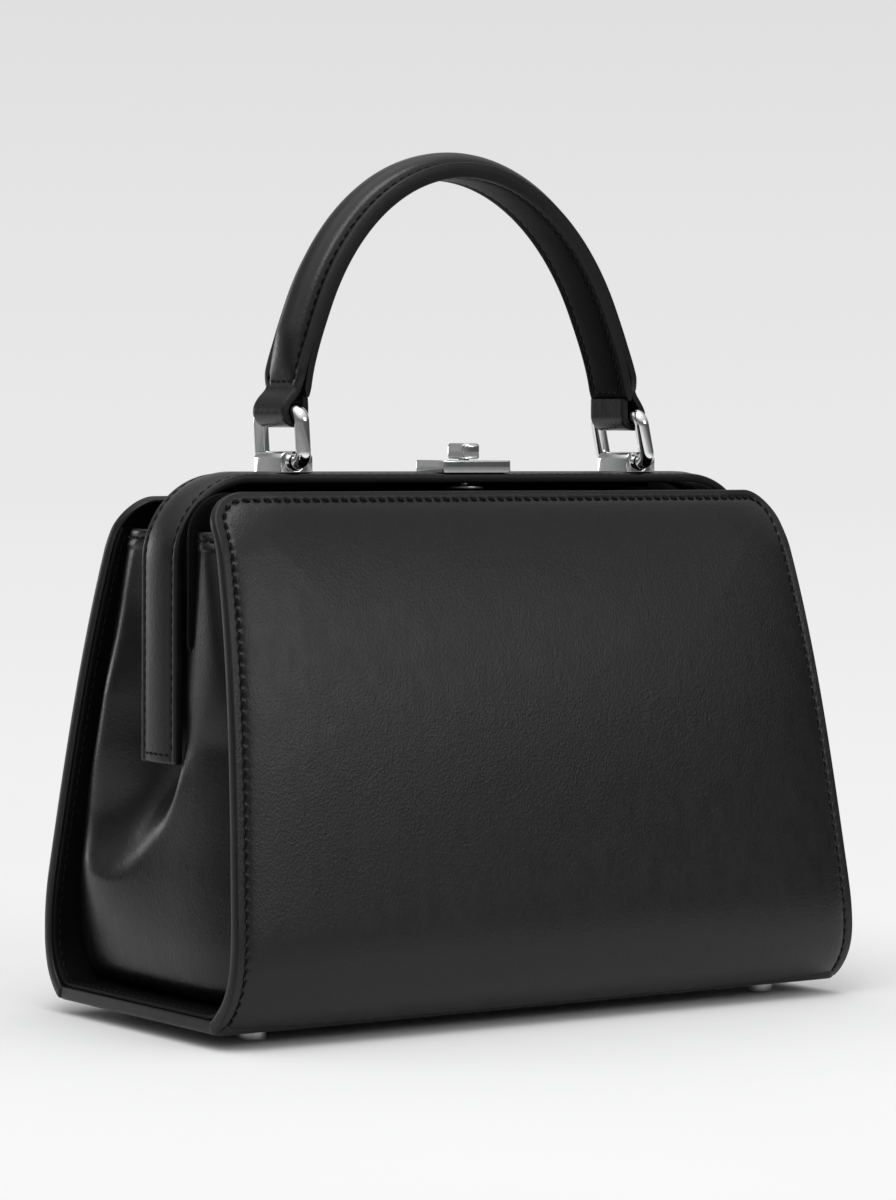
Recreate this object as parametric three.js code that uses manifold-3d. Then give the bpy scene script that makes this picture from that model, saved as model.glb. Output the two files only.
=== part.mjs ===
// Leather frame handbag with a turn-lock clasp and one top handle.
// Millimetres, +Z up, front face towards -Y. The floor is z = 0.
import * as THREE from 'three';
import { mergeVertices } from 'three/addons/utils/BufferGeometryUtils.js';
import Module from 'manifold-3d';

const wasm = await Module();
wasm.setup();

// ------------------------------------------------------------ driving sizes
const GAP = 0.35;                 // clearance between neighbouring pieces

const CENTRE_Y = -1.1975;         // puts the middle of the whole depth on y = 0
const FOOT = { height: 4.35, diameter: 9.2, x: 102, y: 33.6, edge: 1.1 };
const BASE = { bottom: 4.7, thickness: 4.4, halfWidth: 124.6, front: 46.6, corner: 9, edge: 1.6 };
const BASE_TOP = BASE.bottom + BASE.thickness;

// front and back panels: half depth of the outer face against height
const PANEL = {
  thickness: 4.0, top: 171.2, foot: 4.7,
  halfWidthFoot: 125.0, halfWidthTop: 112.6, cornerRadius: 12,
  halfDepthFoot: 62.6, halfDepthTop: 26.9, belly: 18.94, bellySkew: 26.64,
  bendStart: 27.3, bendRadius: 17.3, bendEnd: THREE.MathUtils.degToRad(70),
};
const BACK_TOP = { z: 168.9, corner: 16 };
const BACK_SHIFT = { low: 1.8, high: 4.3, from: 16, to: 46 };   // the back panel bulges further than the front

// gusset: crest of the pleats, edge inset from the panel rims, and the valley
const GUSSET = { wall: 2.4, top: 158.5, edgePower: 7, edgeGap: 0.7 };
const CREST = [                   // height, outermost half width, inset of the sewn edge
  { z: 9.4, crest: 104.0, inset: 21 },
  { z: 16, crest: 110.2, inset: 18.5 },
  { z: 24, crest: 114.6, inset: 16 },
  { z: 36, crest: 117.4, inset: 13.5 },
  { z: 50, crest: 118.5, inset: 12.5 },
  { z: 84, crest: 118.0, inset: 11.5 },
  { z: 104, crest: 117.0, inset: 10.5 },
  { z: 139, crest: 115.5, inset: 8.5 },
  { z: 159, crest: 114.2, inset: 7 },
];
const VALLEY = [                  // height, front crease, back crest, depth between them
  { z: 46, front: 19.0, back: 36.0, depth: 0 },
  { z: 56, front: 8.0, back: 43.5, depth: 2.4 },
  { z: 62, front: -0.7, back: 45.8, depth: 4.4 },
  { z: 77, front: -9.6, back: 44.6, depth: 8.6 },
  { z: 84, front: -14.0, back: 43.2, depth: 11.0 },
  { z: 92, front: -17.0, back: 41.0, depth: 13.6 },
  { z: 104, front: -18.0, back: 37.4, depth: 17.0 },
  { z: 125, front: -19.8, back: 30.4, depth: 20.5 },
  { z: 139, front: -21.4, back: 26.2, depth: 22.0 },
  { z: 159, front: -21.6, back: 20.6, depth: 23.0 },
];
const VALLEY_RISE = 0.8;          // how abruptly the front crease drops into the valley
const VALLEY_FALL = 1.6;          // how slowly the back flank climbs out of it

const WALL = { thickness: 1.8, inner: 15.0 };
const WALL_TOP = { front: { z: 170.5, corner: 14 }, back: { z: 172.6, corner: 5, leftLimit: 96.5 } };
const WALL_FRONT = [              // height, half width of the wall
  { z: BASE_TOP + GAP, half: 96 }, { z: 30, half: 106 }, { z: 60, half: 109 },
  { z: 112, half: 109 }, { z: 122, half: 115.3 },
];
const WALL_BACK = [
  { z: BASE_TOP + GAP, half: 96 }, { z: 24, half: 101 }, { z: 60, half: 101 }, { z: 122, half: 101 },
  { z: 152, half: 101.4 }, { z: 161, half: 107.6 }, { z: 166.5, half: 108.5 },
];
const WALL_LIP = { halfLength: 84, inner: 6.2 };   // back wall turned in under the frame

const BAND = { halfWidth: 116.6, top: 176.25, radius: 28, thickness: 3.05, depth: 20.8, end: 84.9, edge: 0.7 };

const PLATE = { width: 27.6, depth: 17.3, height: 4.1, radius: 1.6, edge: 0.5 };
const KNOB = { width: 6.7, length: 11.8, height: 5.3, edge: 1.5, rise: 0.35 };
const SPINDLE = { diameter: 4.0, clearance: 0.4, washerDiameter: 11.5, washer: 1.0, washerDrop: 1.0 };
const CLASP_Y = -1.5;

const RING = { wire: 5.0, barZ: 180.2, halfSpan: 12.2, height: 16.0, corner: 3.4 };
const RING_PLACE = {             // place of the ring's bar and how far its top leans to the left
  left: { x: -69.9, lean: 1.1 }, right: { x: 69.2, lean: 3.6 },
};
const KNUCKLE = { width: 12.3, depth: 16.0, side: 181.2, top: 183.5, bore: 2.85, mouth: 2.0, edge: 0.4 };

const HANDLE = {
  halfSpan: 62.6, rise: 83.2, springZ: 190, centreX: -2.2, lean: -0.03, flare: 1.6, flareTopZ: 230,
  width: 21.0, loopWidth: 18.2, strap: 2.6, lining: 2.6, crown: 3.6,
  liningEndZ: 200.7, loopTopZ: 203, crownStartZ: 204, crownFullZ: 212, loopLeft: 6.2, loopRight: 5.1,
};

// ---------------------------------------------------------------- materials
const leather = (colour, roughness) =>
  new THREE.MeshStandardMaterial({ color: colour, roughness, metalness: 0 });
const metal = (colour, roughness) =>
  new THREE.MeshStandardMaterial({ color: colour, roughness, metalness: 1 });
const BLACK_LEATHER = 0x1c1c1d, EDGE_LEATHER = 0x242425, CHROME = 0xd9dadb, SATIN = 0xa9aaac;

// ------------------------------------------------------------- small helpers
const lerp = THREE.MathUtils.lerp;
const smooth = (x, a, b) => THREE.MathUtils.smoothstep(x, a, b);

// value of one column of a table at height z, smoothed between rows
function column(table, name, z) {
  const last = table.length - 1;
  if (z <= table[0].z) return table[0][name];
  if (z >= table[last].z) return table[last][name];
  let k = 0;
  while (z > table[k + 1].z) k += 1;
  const slope = (i) => {
    const a = table[Math.max(i - 1, 0)], b = table[Math.min(i + 1, last)];
    return (b[name] - a[name]) / (b.z - a.z);
  };
  const lo = table[k], hi = table[k + 1], span = hi.z - lo.z, t = (z - lo.z) / span;
  const t2 = t * t, t3 = t2 * t;
  return lo[name] * (2 * t3 - 3 * t2 + 1) + hi[name] * (3 * t2 - 2 * t3)
    + span * (slope(k) * (t3 - 2 * t2 + t) + slope(k + 1) * (t3 - t2));
}

function geometryFrom(points, faces) {
  const g = new THREE.BufferGeometry();
  g.setAttribute('position', new THREE.Float32BufferAttribute(points.flatMap((p) => [p.x, p.y, p.z]), 3));
  g.setIndex(faces);
  return facingOut(g);
}

function facingOut(g) {
  const p = g.attributes.position, index = g.index.array;
  const a = new THREE.Vector3(), b = new THREE.Vector3(), c = new THREE.Vector3();
  let volume = 0;
  for (let i = 0; i < index.length; i += 3) {
    a.fromBufferAttribute(p, index[i]);
    b.fromBufferAttribute(p, index[i + 1]);
    c.fromBufferAttribute(p, index[i + 2]);
    volume += a.dot(b.cross(c));
  }
  if (volume < 0) {
    for (let i = 0; i < index.length; i += 3) {
      const swap = index[i + 1];
      index[i + 1] = index[i + 2];
      index[i + 2] = swap;
    }
  }
  g.computeVertexNormals();
  return g;
}

// closed sheet between two matching grids of points
function sheetSolid(rows, cols, outer, inner) {
  const points = [], faces = [];
  for (const side of [outer, inner]) {
    for (let j = 0; j < rows; j += 1) for (let i = 0; i < cols; i += 1) points.push(side(i, j));
  }
  const at = (side, i, j) => side * rows * cols + j * cols + i;
  const quad = (a, b, c, d) => faces.push(a, b, c, a, c, d);
  for (let j = 0; j + 1 < rows; j += 1) {
    for (let i = 0; i + 1 < cols; i += 1) {
      quad(at(0, i, j), at(0, i + 1, j), at(0, i + 1, j + 1), at(0, i, j + 1));
      quad(at(1, i, j), at(1, i, j + 1), at(1, i + 1, j + 1), at(1, i + 1, j));
    }
  }
  for (let i = 0; i + 1 < cols; i += 1) {
    quad(at(0, i, 0), at(1, i, 0), at(1, i + 1, 0), at(0, i + 1, 0));
    quad(at(0, i, rows - 1), at(0, i + 1, rows - 1), at(1, i + 1, rows - 1), at(1, i, rows - 1));
  }
  for (let j = 0; j + 1 < rows; j += 1) {
    quad(at(0, 0, j), at(0, 0, j + 1), at(1, 0, j + 1), at(1, 0, j));
    quad(at(0, cols - 1, j), at(1, cols - 1, j), at(1, cols - 1, j + 1), at(0, cols - 1, j + 1));
  }
  return geometryFrom(points, faces);
}

// closed solid through matching section loops, as a ring or with flat ends
function loftSolid(sections, ring) {
  const n = sections[0].length, m = sections.length, points = sections.flat(), faces = [];
  for (let k = 0; k < (ring ? m : m - 1); k += 1) {
    for (let i = 0; i < n; i += 1) {
      const a = k * n + i, b = k * n + ((i + 1) % n), c = ((k + 1) % m) * n;
      faces.push(a, b, c + ((i + 1) % n), a, c + ((i + 1) % n), c + i);
    }
  }
  if (!ring) {
    for (let i = 1; i + 1 < n; i += 1) {
      faces.push(0, i + 1, i);
      faces.push((m - 1) * n, (m - 1) * n + i, (m - 1) * n + i + 1);
    }
  }
  return geometryFrom(points, faces);
}

function solid(geometry) {
  let g = geometry.clone();
  for (const name of Object.keys(g.attributes)) if (name !== 'position') g.deleteAttribute(name);
  g = mergeVertices(g, 1e-4);
  return new wasm.Manifold(new wasm.Mesh({
    numProp: 3,
    vertProperties: new Float32Array(g.attributes.position.array),
    triVerts: new Uint32Array(g.index.array),
  }));
}

function geometryOf(manifold) {
  const m = manifold.getMesh(), g = new THREE.BufferGeometry();
  g.setAttribute('position', new THREE.Float32BufferAttribute(m.vertProperties, 3));
  g.setIndex(new THREE.Uint32BufferAttribute(m.triVerts, 1));
  g.computeVertexNormals();
  return g;
}

// outline in the X-Z plane, extruded along Y about y = middle
function extrudeAlongY(shape, depth, edge, middle, segments = 10) {
  const g = new THREE.ExtrudeGeometry(shape, {
    depth: depth - 2 * edge, bevelEnabled: edge > 0, bevelThickness: edge, bevelSize: edge,
    bevelOffset: -edge, bevelSegments: 2, curveSegments: segments,
  });
  g.rotateX(Math.PI / 2);
  g.translate(0, middle + depth / 2 - edge, 0);
  return g;
}

// outline in the X-Y plane, extruded upwards from z = bottom
function extrudeUp(shape, height, edge, bottom, bevelSegments = 2) {
  const g = new THREE.ExtrudeGeometry(shape, {
    depth: height - 2 * edge, bevelEnabled: edge > 0, bevelThickness: edge, bevelSize: edge,
    bevelOffset: -edge, bevelSegments, curveSegments: 6,
  });
  g.translate(0, 0, bottom + edge);
  return g;
}

function roundedRectangle(width, depth, radius, cx = 0, cy = 0) {
  const s = new THREE.Shape(), x = width / 2, y = depth / 2;
  s.moveTo(cx - x + radius, cy - y);
  s.lineTo(cx + x - radius, cy - y);
  s.absarc(cx + x - radius, cy - y + radius, radius, -Math.PI / 2, 0, false);
  s.lineTo(cx + x, cy + y - radius);
  s.absarc(cx + x - radius, cy + y - radius, radius, 0, Math.PI / 2, false);
  s.lineTo(cx - x + radius, cy + y);
  s.absarc(cx - x + radius, cy + y - radius, radius, Math.PI / 2, Math.PI, false);
  s.lineTo(cx - x, cy - y + radius);
  s.absarc(cx - x + radius, cy - y + radius, radius, Math.PI, 1.5 * Math.PI, false);
  return s;
}

function cylinderUp(diameter, bottom, top, x, y, sides = 32) {
  const g = new THREE.CylinderGeometry(diameter / 2, diameter / 2, top - bottom, sides);
  g.rotateX(Math.PI / 2);
  g.translate(x, y, (bottom + top) / 2);
  return g;
}

const bag = new THREE.Group();
function add(name, geometry, material) {
  geometry.translate(0, CENTRE_Y, 0);
  const mesh = new THREE.Mesh(geometry, material);
  mesh.name = name;
  bag.add(mesh);
}

// ------------------------------------------------------------------- panels
const rimHalfWidth = (z) =>
  lerp(PANEL.halfWidthFoot, PANEL.halfWidthTop, (z - PANEL.foot) / (PANEL.top - PANEL.foot));

function faceHalfDepth(z) {
  const t = (z - PANEL.foot) / (PANEL.top - PANEL.foot), hump = t * (1 - t);
  return lerp(PANEL.halfDepthFoot, PANEL.halfDepthTop, t) + PANEL.belly * hump
    + PANEL.bellySkew * hump * (t - 0.5);
}
const faceSlope = (z) => (faceHalfDepth(z + 0.5) - faceHalfDepth(z - 0.5));

const bendLean = Math.atan(-faceSlope(PANEL.bendStart));
const bendCentre = {
  y: faceHalfDepth(PANEL.bendStart) - PANEL.bendRadius * Math.cos(bendLean),
  z: PANEL.bendStart - PANEL.bendRadius * Math.sin(bendLean),
};

const backShift = (z) => lerp(BACK_SHIFT.low, BACK_SHIFT.high, smooth(z, BACK_SHIFT.from, BACK_SHIFT.to));

// rows down the panel: outer point, inward direction and half width
function panelRows(upper, lower, top, r) {
  const rows = [];
  for (let k = 0; k <= upper; k += 1) {
    const f = k / upper, z = lerp(top, PANEL.bendStart, f * f * 0.6 + f * 0.4);
    const lean = Math.atan(-faceSlope(z));
    const down = (top - z) / Math.cos(lean);
    const round = down < r ? r - Math.sqrt(Math.max(r * r - (r - down) ** 2, 0)) : 0;
    rows.push({ y: faceHalfDepth(z), z, ny: -Math.cos(lean), nz: -Math.sin(lean), half: rimHalfWidth(z) - round });
  }
  for (let k = 1; k <= lower; k += 1) {
    const a = lerp(-bendLean, PANEL.bendEnd, k / lower);
    const y = bendCentre.y + PANEL.bendRadius * Math.cos(a), z = bendCentre.z - PANEL.bendRadius * Math.sin(a);
    rows.push({ y, z, ny: -Math.cos(a), nz: Math.sin(a), half: rimHalfWidth(z) });
  }
  return rows;
}

// half depth of the panels' inner faces, for what fits between them
function insideHalfDepth(z) {
  const r = PANEL.bendRadius - PANEL.thickness, dz = bendCentre.z - z;
  const end = r * Math.sin(PANEL.bendEnd);
  if (z > PANEL.bendStart) return faceHalfDepth(z) - PANEL.thickness * Math.hypot(1, faceSlope(z));
  return bendCentre.y + Math.sqrt(r * r - Math.min(dz, end) ** 2);
}

function panelSolid(side) {
  const rows = side > 0 ? panelRows(22, 8, BACK_TOP.z, BACK_TOP.corner) : panelRows(22, 8, PANEL.top, PANEL.cornerRadius), cols = 9;
  const point = (i, j, depth) => {
    const r = rows[j], x = lerp(-r.half, r.half, i / (cols - 1));
    const z = r.z + r.nz * depth, shift = side > 0 ? backShift(z) : 0;
    return new THREE.Vector3(x, side * (r.y + r.ny * depth) + shift, z);
  };
  return sheetSolid(rows.length, cols, (i, j) => point(i, j, 0), (i, j) => point(i, j, PANEL.thickness));
}

add('front_panel', panelSolid(-1), leather(BLACK_LEATHER, 0.5));
add('back_panel', panelSolid(1), leather(BLACK_LEATHER, 0.5));

// --------------------------------------------------------------------- base
add('base', extrudeUp(roundedRectangle(2 * BASE.halfWidth, 2 * BASE.front + BACK_SHIFT.low, BASE.corner, 0, BACK_SHIFT.low / 2),
  BASE.thickness, BASE.edge, BASE.bottom, 3), leather(EDGE_LEATHER, 0.55));

// ------------------------------------------------------------------ gussets
function valleyShape(s) {
  if (s <= 0 || s >= 1) return 0;
  const peak = VALLEY_RISE / (VALLEY_RISE + VALLEY_FALL);
  const f = (v) => v ** VALLEY_RISE * (1 - v) ** VALLEY_FALL;
  return f(s) / f(peak);
}

function gussetHalfWidth(y, z) {
  const crest = column(CREST, 'crest', z), edge = rimHalfWidth(z) - column(CREST, 'inset', z);
  const shift = backShift(z) / 2, across = Math.min(Math.abs(y - shift) / (insideHalfDepth(z) + shift), 1);
  const pillow = edge + (crest - edge) * (1 - across ** GUSSET.edgePower);
  const front = column(VALLEY, 'front', z), back = column(VALLEY, 'back', z);
  return pillow - column(VALLEY, 'depth', z) * valleyShape((y - front) / (back - front));
}

function gussetSolid(side) {
  const rows = 32, stations = [];
  // columns follow the creases, so that each pleat keeps its edge
  const parts = [{ from: 'edgeFront', to: 'front', steps: 7 }, { from: 'front', to: 'back', steps: 14 },
    { from: 'back', to: 'edgeBack', steps: 6 }];
  for (const p of parts) {
    for (let k = 0; k < p.steps; k += 1) stations.push({ ...p, f: k / p.steps });
  }
  stations.push({ ...parts[2], f: 1 });
  const lowest = BASE_TOP + GAP;
  const point = (i, j, depth) => {
    const g = j / (rows - 1), z = lerp(lowest, GUSSET.top, 0.42 * g + 0.58 * g * g);
    const edge = insideHalfDepth(z) - GUSSET.edgeGap * (2 - smooth(z, BASE_TOP, PANEL.bendStart)), s = stations[i];
    const place = {
      edgeFront: -edge, edgeBack: edge + backShift(z),
      front: column(VALLEY, 'front', z), back: Math.min(column(VALLEY, 'back', z), edge + backShift(z) - 3),
    };
    const ease = s.from === 'front' ? s.f ** 1.5 : s.from === 'edgeFront' ? 1 - (1 - s.f) ** 1 : s.f;
    const y = lerp(place[s.from], place[s.to], ease);
    return new THREE.Vector3(side * (gussetHalfWidth(y, z) - depth), y, z);
  };
  return sheetSolid(rows, stations.length, (i, j) => point(i, j, 0), (i, j) => point(i, j, GUSSET.wall));
}

// -------------------------------------------------------------- inner walls
function wallOutline(table, edge, grow) {
  const s = new THREE.Shape(), steps = 18, top = edge.z + grow, r = edge.corner + grow;
  const side = [];
  for (let k = 0; k <= steps; k += 1) {
    const z = lerp(table[0].z - grow, top - r, k / steps);
    side.push({ x: column(table, 'half', z) + grow, z });
  }
  for (let k = 1; k <= 6; k += 1) {
    const a = (k / 6) * Math.PI / 2, end = side[steps].x;
    side.push({ x: end - r + r * Math.cos(a), z: top - r + r * Math.sin(a) });
  }
  side.forEach((p, k) => (k ? s.lineTo(p.x, p.z) : s.moveTo(p.x, p.z)));
  [...side].reverse().forEach((p) => s.lineTo(-Math.min(p.x, edge.leftLimit ?? p.x), p.z));
  return s;
}

const wallMiddle = WALL.inner + WALL.thickness / 2;
const frontWall = solid(extrudeAlongY(wallOutline(WALL_FRONT, WALL_TOP.front, 0), WALL.thickness, 0, -wallMiddle));
const frontSlot = solid(extrudeAlongY(wallOutline(WALL_FRONT, WALL_TOP.front, GAP), WALL.thickness + 2 * GAP, 0, -wallMiddle));
const lipTop = BAND.top - BAND.thickness - GAP;
const lipShape = new THREE.Shape();
lipShape.moveTo(WALL.inner + WALL.thickness, WALL_TOP.back.z - 6);
lipShape.lineTo(WALL.inner + WALL.thickness, lipTop);
lipShape.lineTo(WALL_LIP.inner, lipTop);
lipShape.lineTo(WALL_LIP.inner, lipTop - WALL.thickness);
lipShape.lineTo(WALL.inner, lipTop - WALL.thickness);
lipShape.lineTo(WALL.inner, WALL_TOP.back.z - 6);
const lip = new THREE.ExtrudeGeometry(lipShape, { depth: 2 * WALL_LIP.halfLength, bevelEnabled: false });
lip.rotateX(Math.PI / 2);
lip.rotateZ(Math.PI / 2);
lip.translate(-WALL_LIP.halfLength, 0, 0);
const backWall = solid(extrudeAlongY(wallOutline(WALL_BACK, WALL_TOP.back, 0), WALL.thickness, 0, wallMiddle)).add(solid(lip));

for (const [name, side] of [['gusset_left', -1], ['gusset_right', 1]]) {
  const cut = solid(gussetSolid(side)).subtract(frontSlot);
  const whole = cut.decompose().sort((a, b) => b.volume() - a.volume())[0];
  add(name, geometryOf(whole), leather(BLACK_LEATHER, 0.48));
}
add('inner_wall_front', geometryOf(frontWall), leather(EDGE_LEATHER, 0.6));
add('inner_wall_back', geometryOf(backWall), leather(EDGE_LEATHER, 0.6));

// --------------------------------------------------------------- frame band
function archOutline(half, top, radius, end) {
  const points = [];
  points.push([-half, end]);
  for (let k = 0; k <= 10; k += 1) {
    const a = Math.PI - (k / 10) * Math.PI / 2;
    points.push([-half + radius + radius * Math.cos(a), top - radius + radius * Math.sin(a)]);
  }
  for (let k = 0; k <= 10; k += 1) {
    const a = Math.PI / 2 - (k / 10) * Math.PI / 2;
    points.push([half - radius + radius * Math.cos(a), top - radius + radius * Math.sin(a)]);
  }
  points.push([half, end]);
  return points;
}
const bandShape = new THREE.Shape();
archOutline(BAND.halfWidth, BAND.top, BAND.radius, BAND.end)
  .forEach(([x, z], k) => (k ? bandShape.lineTo(x, z) : bandShape.moveTo(x, z)));
archOutline(BAND.halfWidth - BAND.thickness, BAND.top - BAND.thickness, BAND.radius - BAND.thickness, BAND.end)
  .reverse().forEach(([x, z]) => bandShape.lineTo(x, z));
const spindleHole = solid(cylinderUp(SPINDLE.diameter + 2 * SPINDLE.clearance, BAND.top - 10, BAND.top + 10, 0, CLASP_Y));
add('frame_band', geometryOf(solid(extrudeAlongY(bandShape, BAND.depth, BAND.edge, 0)).subtract(spindleHole)),
  leather(BLACK_LEATHER, 0.5));

// -------------------------------------------------------------------- clasp
const plateBottom = BAND.top + GAP, plateTop = plateBottom + PLATE.height;
add('clasp_plate', geometryOf(solid(extrudeUp(
  roundedRectangle(PLATE.width, PLATE.depth, PLATE.radius, 0, CLASP_Y), PLATE.height, PLATE.edge, plateBottom,
)).subtract(spindleHole)), metal(CHROME, 0.12));

const knobBottom = plateTop + KNOB.rise;
const washerTop = BAND.top - BAND.thickness - SPINDLE.washerDrop;
const knob = solid(extrudeUp(roundedRectangle(KNOB.width, KNOB.length, 2.2, 0, CLASP_Y), KNOB.height, KNOB.edge, knobBottom, 4))
  .add(solid(cylinderUp(SPINDLE.diameter, washerTop - 0.5, knobBottom + 2, 0, CLASP_Y)))
  .add(solid(cylinderUp(SPINDLE.washerDiameter, washerTop - SPINDLE.washer, washerTop, 0, CLASP_Y, 40)));
add('clasp_knob', geometryOf(knob), metal(CHROME, 0.1));

// ---------------------------------------------------- handle rings and knuckles
function ringGeometry(lean) {
  const wire = RING.wire / 2, sections = [], turns = 6, sides = 14;
  const middle = { y: RING.halfSpan - RING.corner, z: RING.height / 2 - RING.corner };
  const corners = [[1, 1, 0], [-1, 1, 1], [-1, -1, 2], [1, -1, 3]];
  for (const [sy, sz, q] of corners) {
    for (let k = 0; k <= turns; k += 1) {
      const a = (q + k / turns) * Math.PI / 2, out = { y: Math.cos(a), z: Math.sin(a) };
      const py = sy * middle.y + RING.corner * out.y, pz = sz * middle.z + RING.corner * out.z;
      const loop = [];
      for (let n = 0; n < sides; n += 1) {
        const b = (n / sides) * 2 * Math.PI, r = wire * Math.cos(b);
        loop.push(new THREE.Vector3(wire * Math.sin(b), py + r * out.y, pz + r * out.z + RING.height / 2));
      }
      sections.push(loop);
    }
  }
  const g = loftSolid(sections, true);
  g.rotateY(-Math.asin(lean / RING.height));
  return g;
}

function knuckleShape() {
  const s = new THREE.Shape(), w = KNUCKLE.width / 2, z = RING.barZ;
  const lipZ = z + Math.sqrt(KNUCKLE.bore ** 2 - KNUCKLE.mouth ** 2), a = Math.atan2(lipZ - z, KNUCKLE.mouth);
  s.moveTo(-w, plateBottom);
  s.lineTo(w, plateBottom);
  s.lineTo(w, KNUCKLE.side);
  s.quadraticCurveTo(w - 0.4, KNUCKLE.top, KNUCKLE.mouth + 1.0, KNUCKLE.top);
  s.lineTo(KNUCKLE.mouth, lipZ);
  s.absarc(0, z, KNUCKLE.bore, a, Math.PI - a, true);
  s.lineTo(-KNUCKLE.mouth - 1.0, KNUCKLE.top);
  s.quadraticCurveTo(-w + 0.4, KNUCKLE.top, -w, KNUCKLE.side);
  return s;
}

for (const [name, { x, lean }] of Object.entries(RING_PLACE)) {
  const knuckle = extrudeAlongY(knuckleShape(), KNUCKLE.depth, 0, 0, 9);
  knuckle.translate(x, 0, 0);
  add(`ring_base_${name}`, knuckle, metal(CHROME, 0.14));
  const ring = ringGeometry(lean);
  ring.translate(x, 0, RING.barZ);
  add(`ring_${name}`, ring, metal(CHROME, 0.1));
}

// ------------------------------------------------------------------- handle
const leanX = (z) => HANDLE.centreX + HANDLE.lean * (z - 195.6);

// point of the arch at angle a, moved out by a distance along its normal; its feet spread a little
function archPoint(a, out) {
  const n = new THREE.Vector2(HANDLE.rise * Math.cos(a), HANDLE.halfSpan * Math.sin(a)).normalize();
  const z = HANDLE.springZ + HANDLE.rise * Math.sin(a);
  const d = out + HANDLE.flare * (1 - smooth(z, HANDLE.loopTopZ - 2, HANDLE.flareTopZ));
  return new THREE.Vector2(HANDLE.halfSpan * Math.cos(a) + n.x * d, z + n.y * d);
}
const archAngle = (z) => Math.asin((z - HANDLE.springZ) / HANDLE.rise);

// one end of the strap, from the arch down round the ring's bar and up to the end of the lining
function strapEnd(barX, barZ) {
  const layer = HANDLE.lining + 0.3, path = [];
  for (let k = 0; k < 16; k += 1) {
    path.push(archPoint(lerp(Math.PI / 2, archAngle(HANDLE.loopTopZ), (k + 0.5) / 15.5), layer));
  }
  const r = RING.wire / 2 + GAP;
  for (let k = 0; k <= 12; k += 1) {
    const a = THREE.MathUtils.degToRad(lerp(14, -186, k / 12));
    path.push(new THREE.Vector2(barX + r * Math.cos(a), barZ + r * Math.sin(a)));
  }
  path.push(new THREE.Vector2(barX - r, HANDLE.liningEndZ - GAP - 0.2));
  return path;
}

const ringTop = ({ lean }) => RING.barZ + Math.sqrt(RING.height ** 2 - lean ** 2);
const rightEnd = strapEnd(HANDLE.halfSpan + HANDLE.loopRight, ringTop(RING_PLACE.right));
const leftEnd = strapEnd(HANDLE.halfSpan + HANDLE.loopLeft, ringTop(RING_PLACE.left))
  .map((p) => new THREE.Vector2(-p.x, p.y)).reverse();
const strapPath = [...leftEnd, ...rightEnd];

const strapSections = strapPath.map((p, k) => {
  const a = strapPath[Math.max(k - 1, 0)], b = strapPath[Math.min(k + 1, strapPath.length - 1)];
  const t = new THREE.Vector2().subVectors(b, a).normalize(), n = new THREE.Vector2(-t.y, t.x);
  const onArch = k >= leftEnd.length - 16 && k < leftEnd.length + 16;
  const up = onArch ? smooth(p.y, HANDLE.crownStartZ, HANDLE.crownFullZ) : 0;
  const half = lerp(HANDLE.loopWidth, HANDLE.width, onArch ? smooth(p.y, HANDLE.loopTopZ, HANDLE.loopTopZ + 8) : 0) / 2;
  const profile = [[-1, 0], [1, 0], [1, 1], [0.72, 1.05], [0.4, 1.8], [0, 2], [-0.4, 1.8], [-0.72, 1.05], [-1, 1]];
  return profile.map(([across, level]) => {
    const out = HANDLE.strap * Math.min(level, 1) + HANDLE.crown * up * Math.max(level - 1, 0);
    return new THREE.Vector3(p.x + n.x * out + leanX(p.y), across * half, p.y + n.y * out);
  });
});
add('handle_strap', loftSolid(strapSections, false), leather(BLACK_LEATHER, 0.48));

const liningSteps = 36, liningEnd = archAngle(HANDLE.liningEndZ);
const liningSections = [];
for (let k = 0; k <= liningSteps; k += 1) {
  const a = lerp(Math.PI - liningEnd, liningEnd, k / liningSteps);
  liningSections.push([[-1, 0], [1, 0], [1, 1], [-1, 1]].map(([across, level]) => {
    const p = archPoint(a, level * HANDLE.lining);
    return new THREE.Vector3(p.x + leanX(p.y), across * HANDLE.width / 2, p.y);
  }));
}
add('handle_lining', loftSolid(liningSections, false), leather(BLACK_LEATHER, 0.52));

// --------------------------------------------------------------------- feet
const footProfile = [[0, 0], [FOOT.diameter / 2 - FOOT.edge, 0], [FOOT.diameter / 2 - 0.3 * FOOT.edge, 0.3 * FOOT.edge],
  [FOOT.diameter / 2, FOOT.edge], [FOOT.diameter / 2, FOOT.height], [0, FOOT.height]]
  .map(([x, z]) => new THREE.Vector2(x, z));
for (const [name, sx, sy] of [['foot_front_left', -1, -1], ['foot_front_right', 1, -1],
  ['foot_back_left', -1, 1], ['foot_back_right', 1, 1]]) {
  const g = new THREE.LatheGeometry(footProfile, 28);
  g.rotateX(Math.PI / 2);
  g.translate(sx * FOOT.x, sy * FOOT.y + (sy > 0 ? BACK_SHIFT.low : 0), 0);
  add(name, g, metal(SATIN, 0.35));
}

export default bag;
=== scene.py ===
import math

import bmesh
import bpy
import numpy as np
from mathutils import Matrix, Vector


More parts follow.
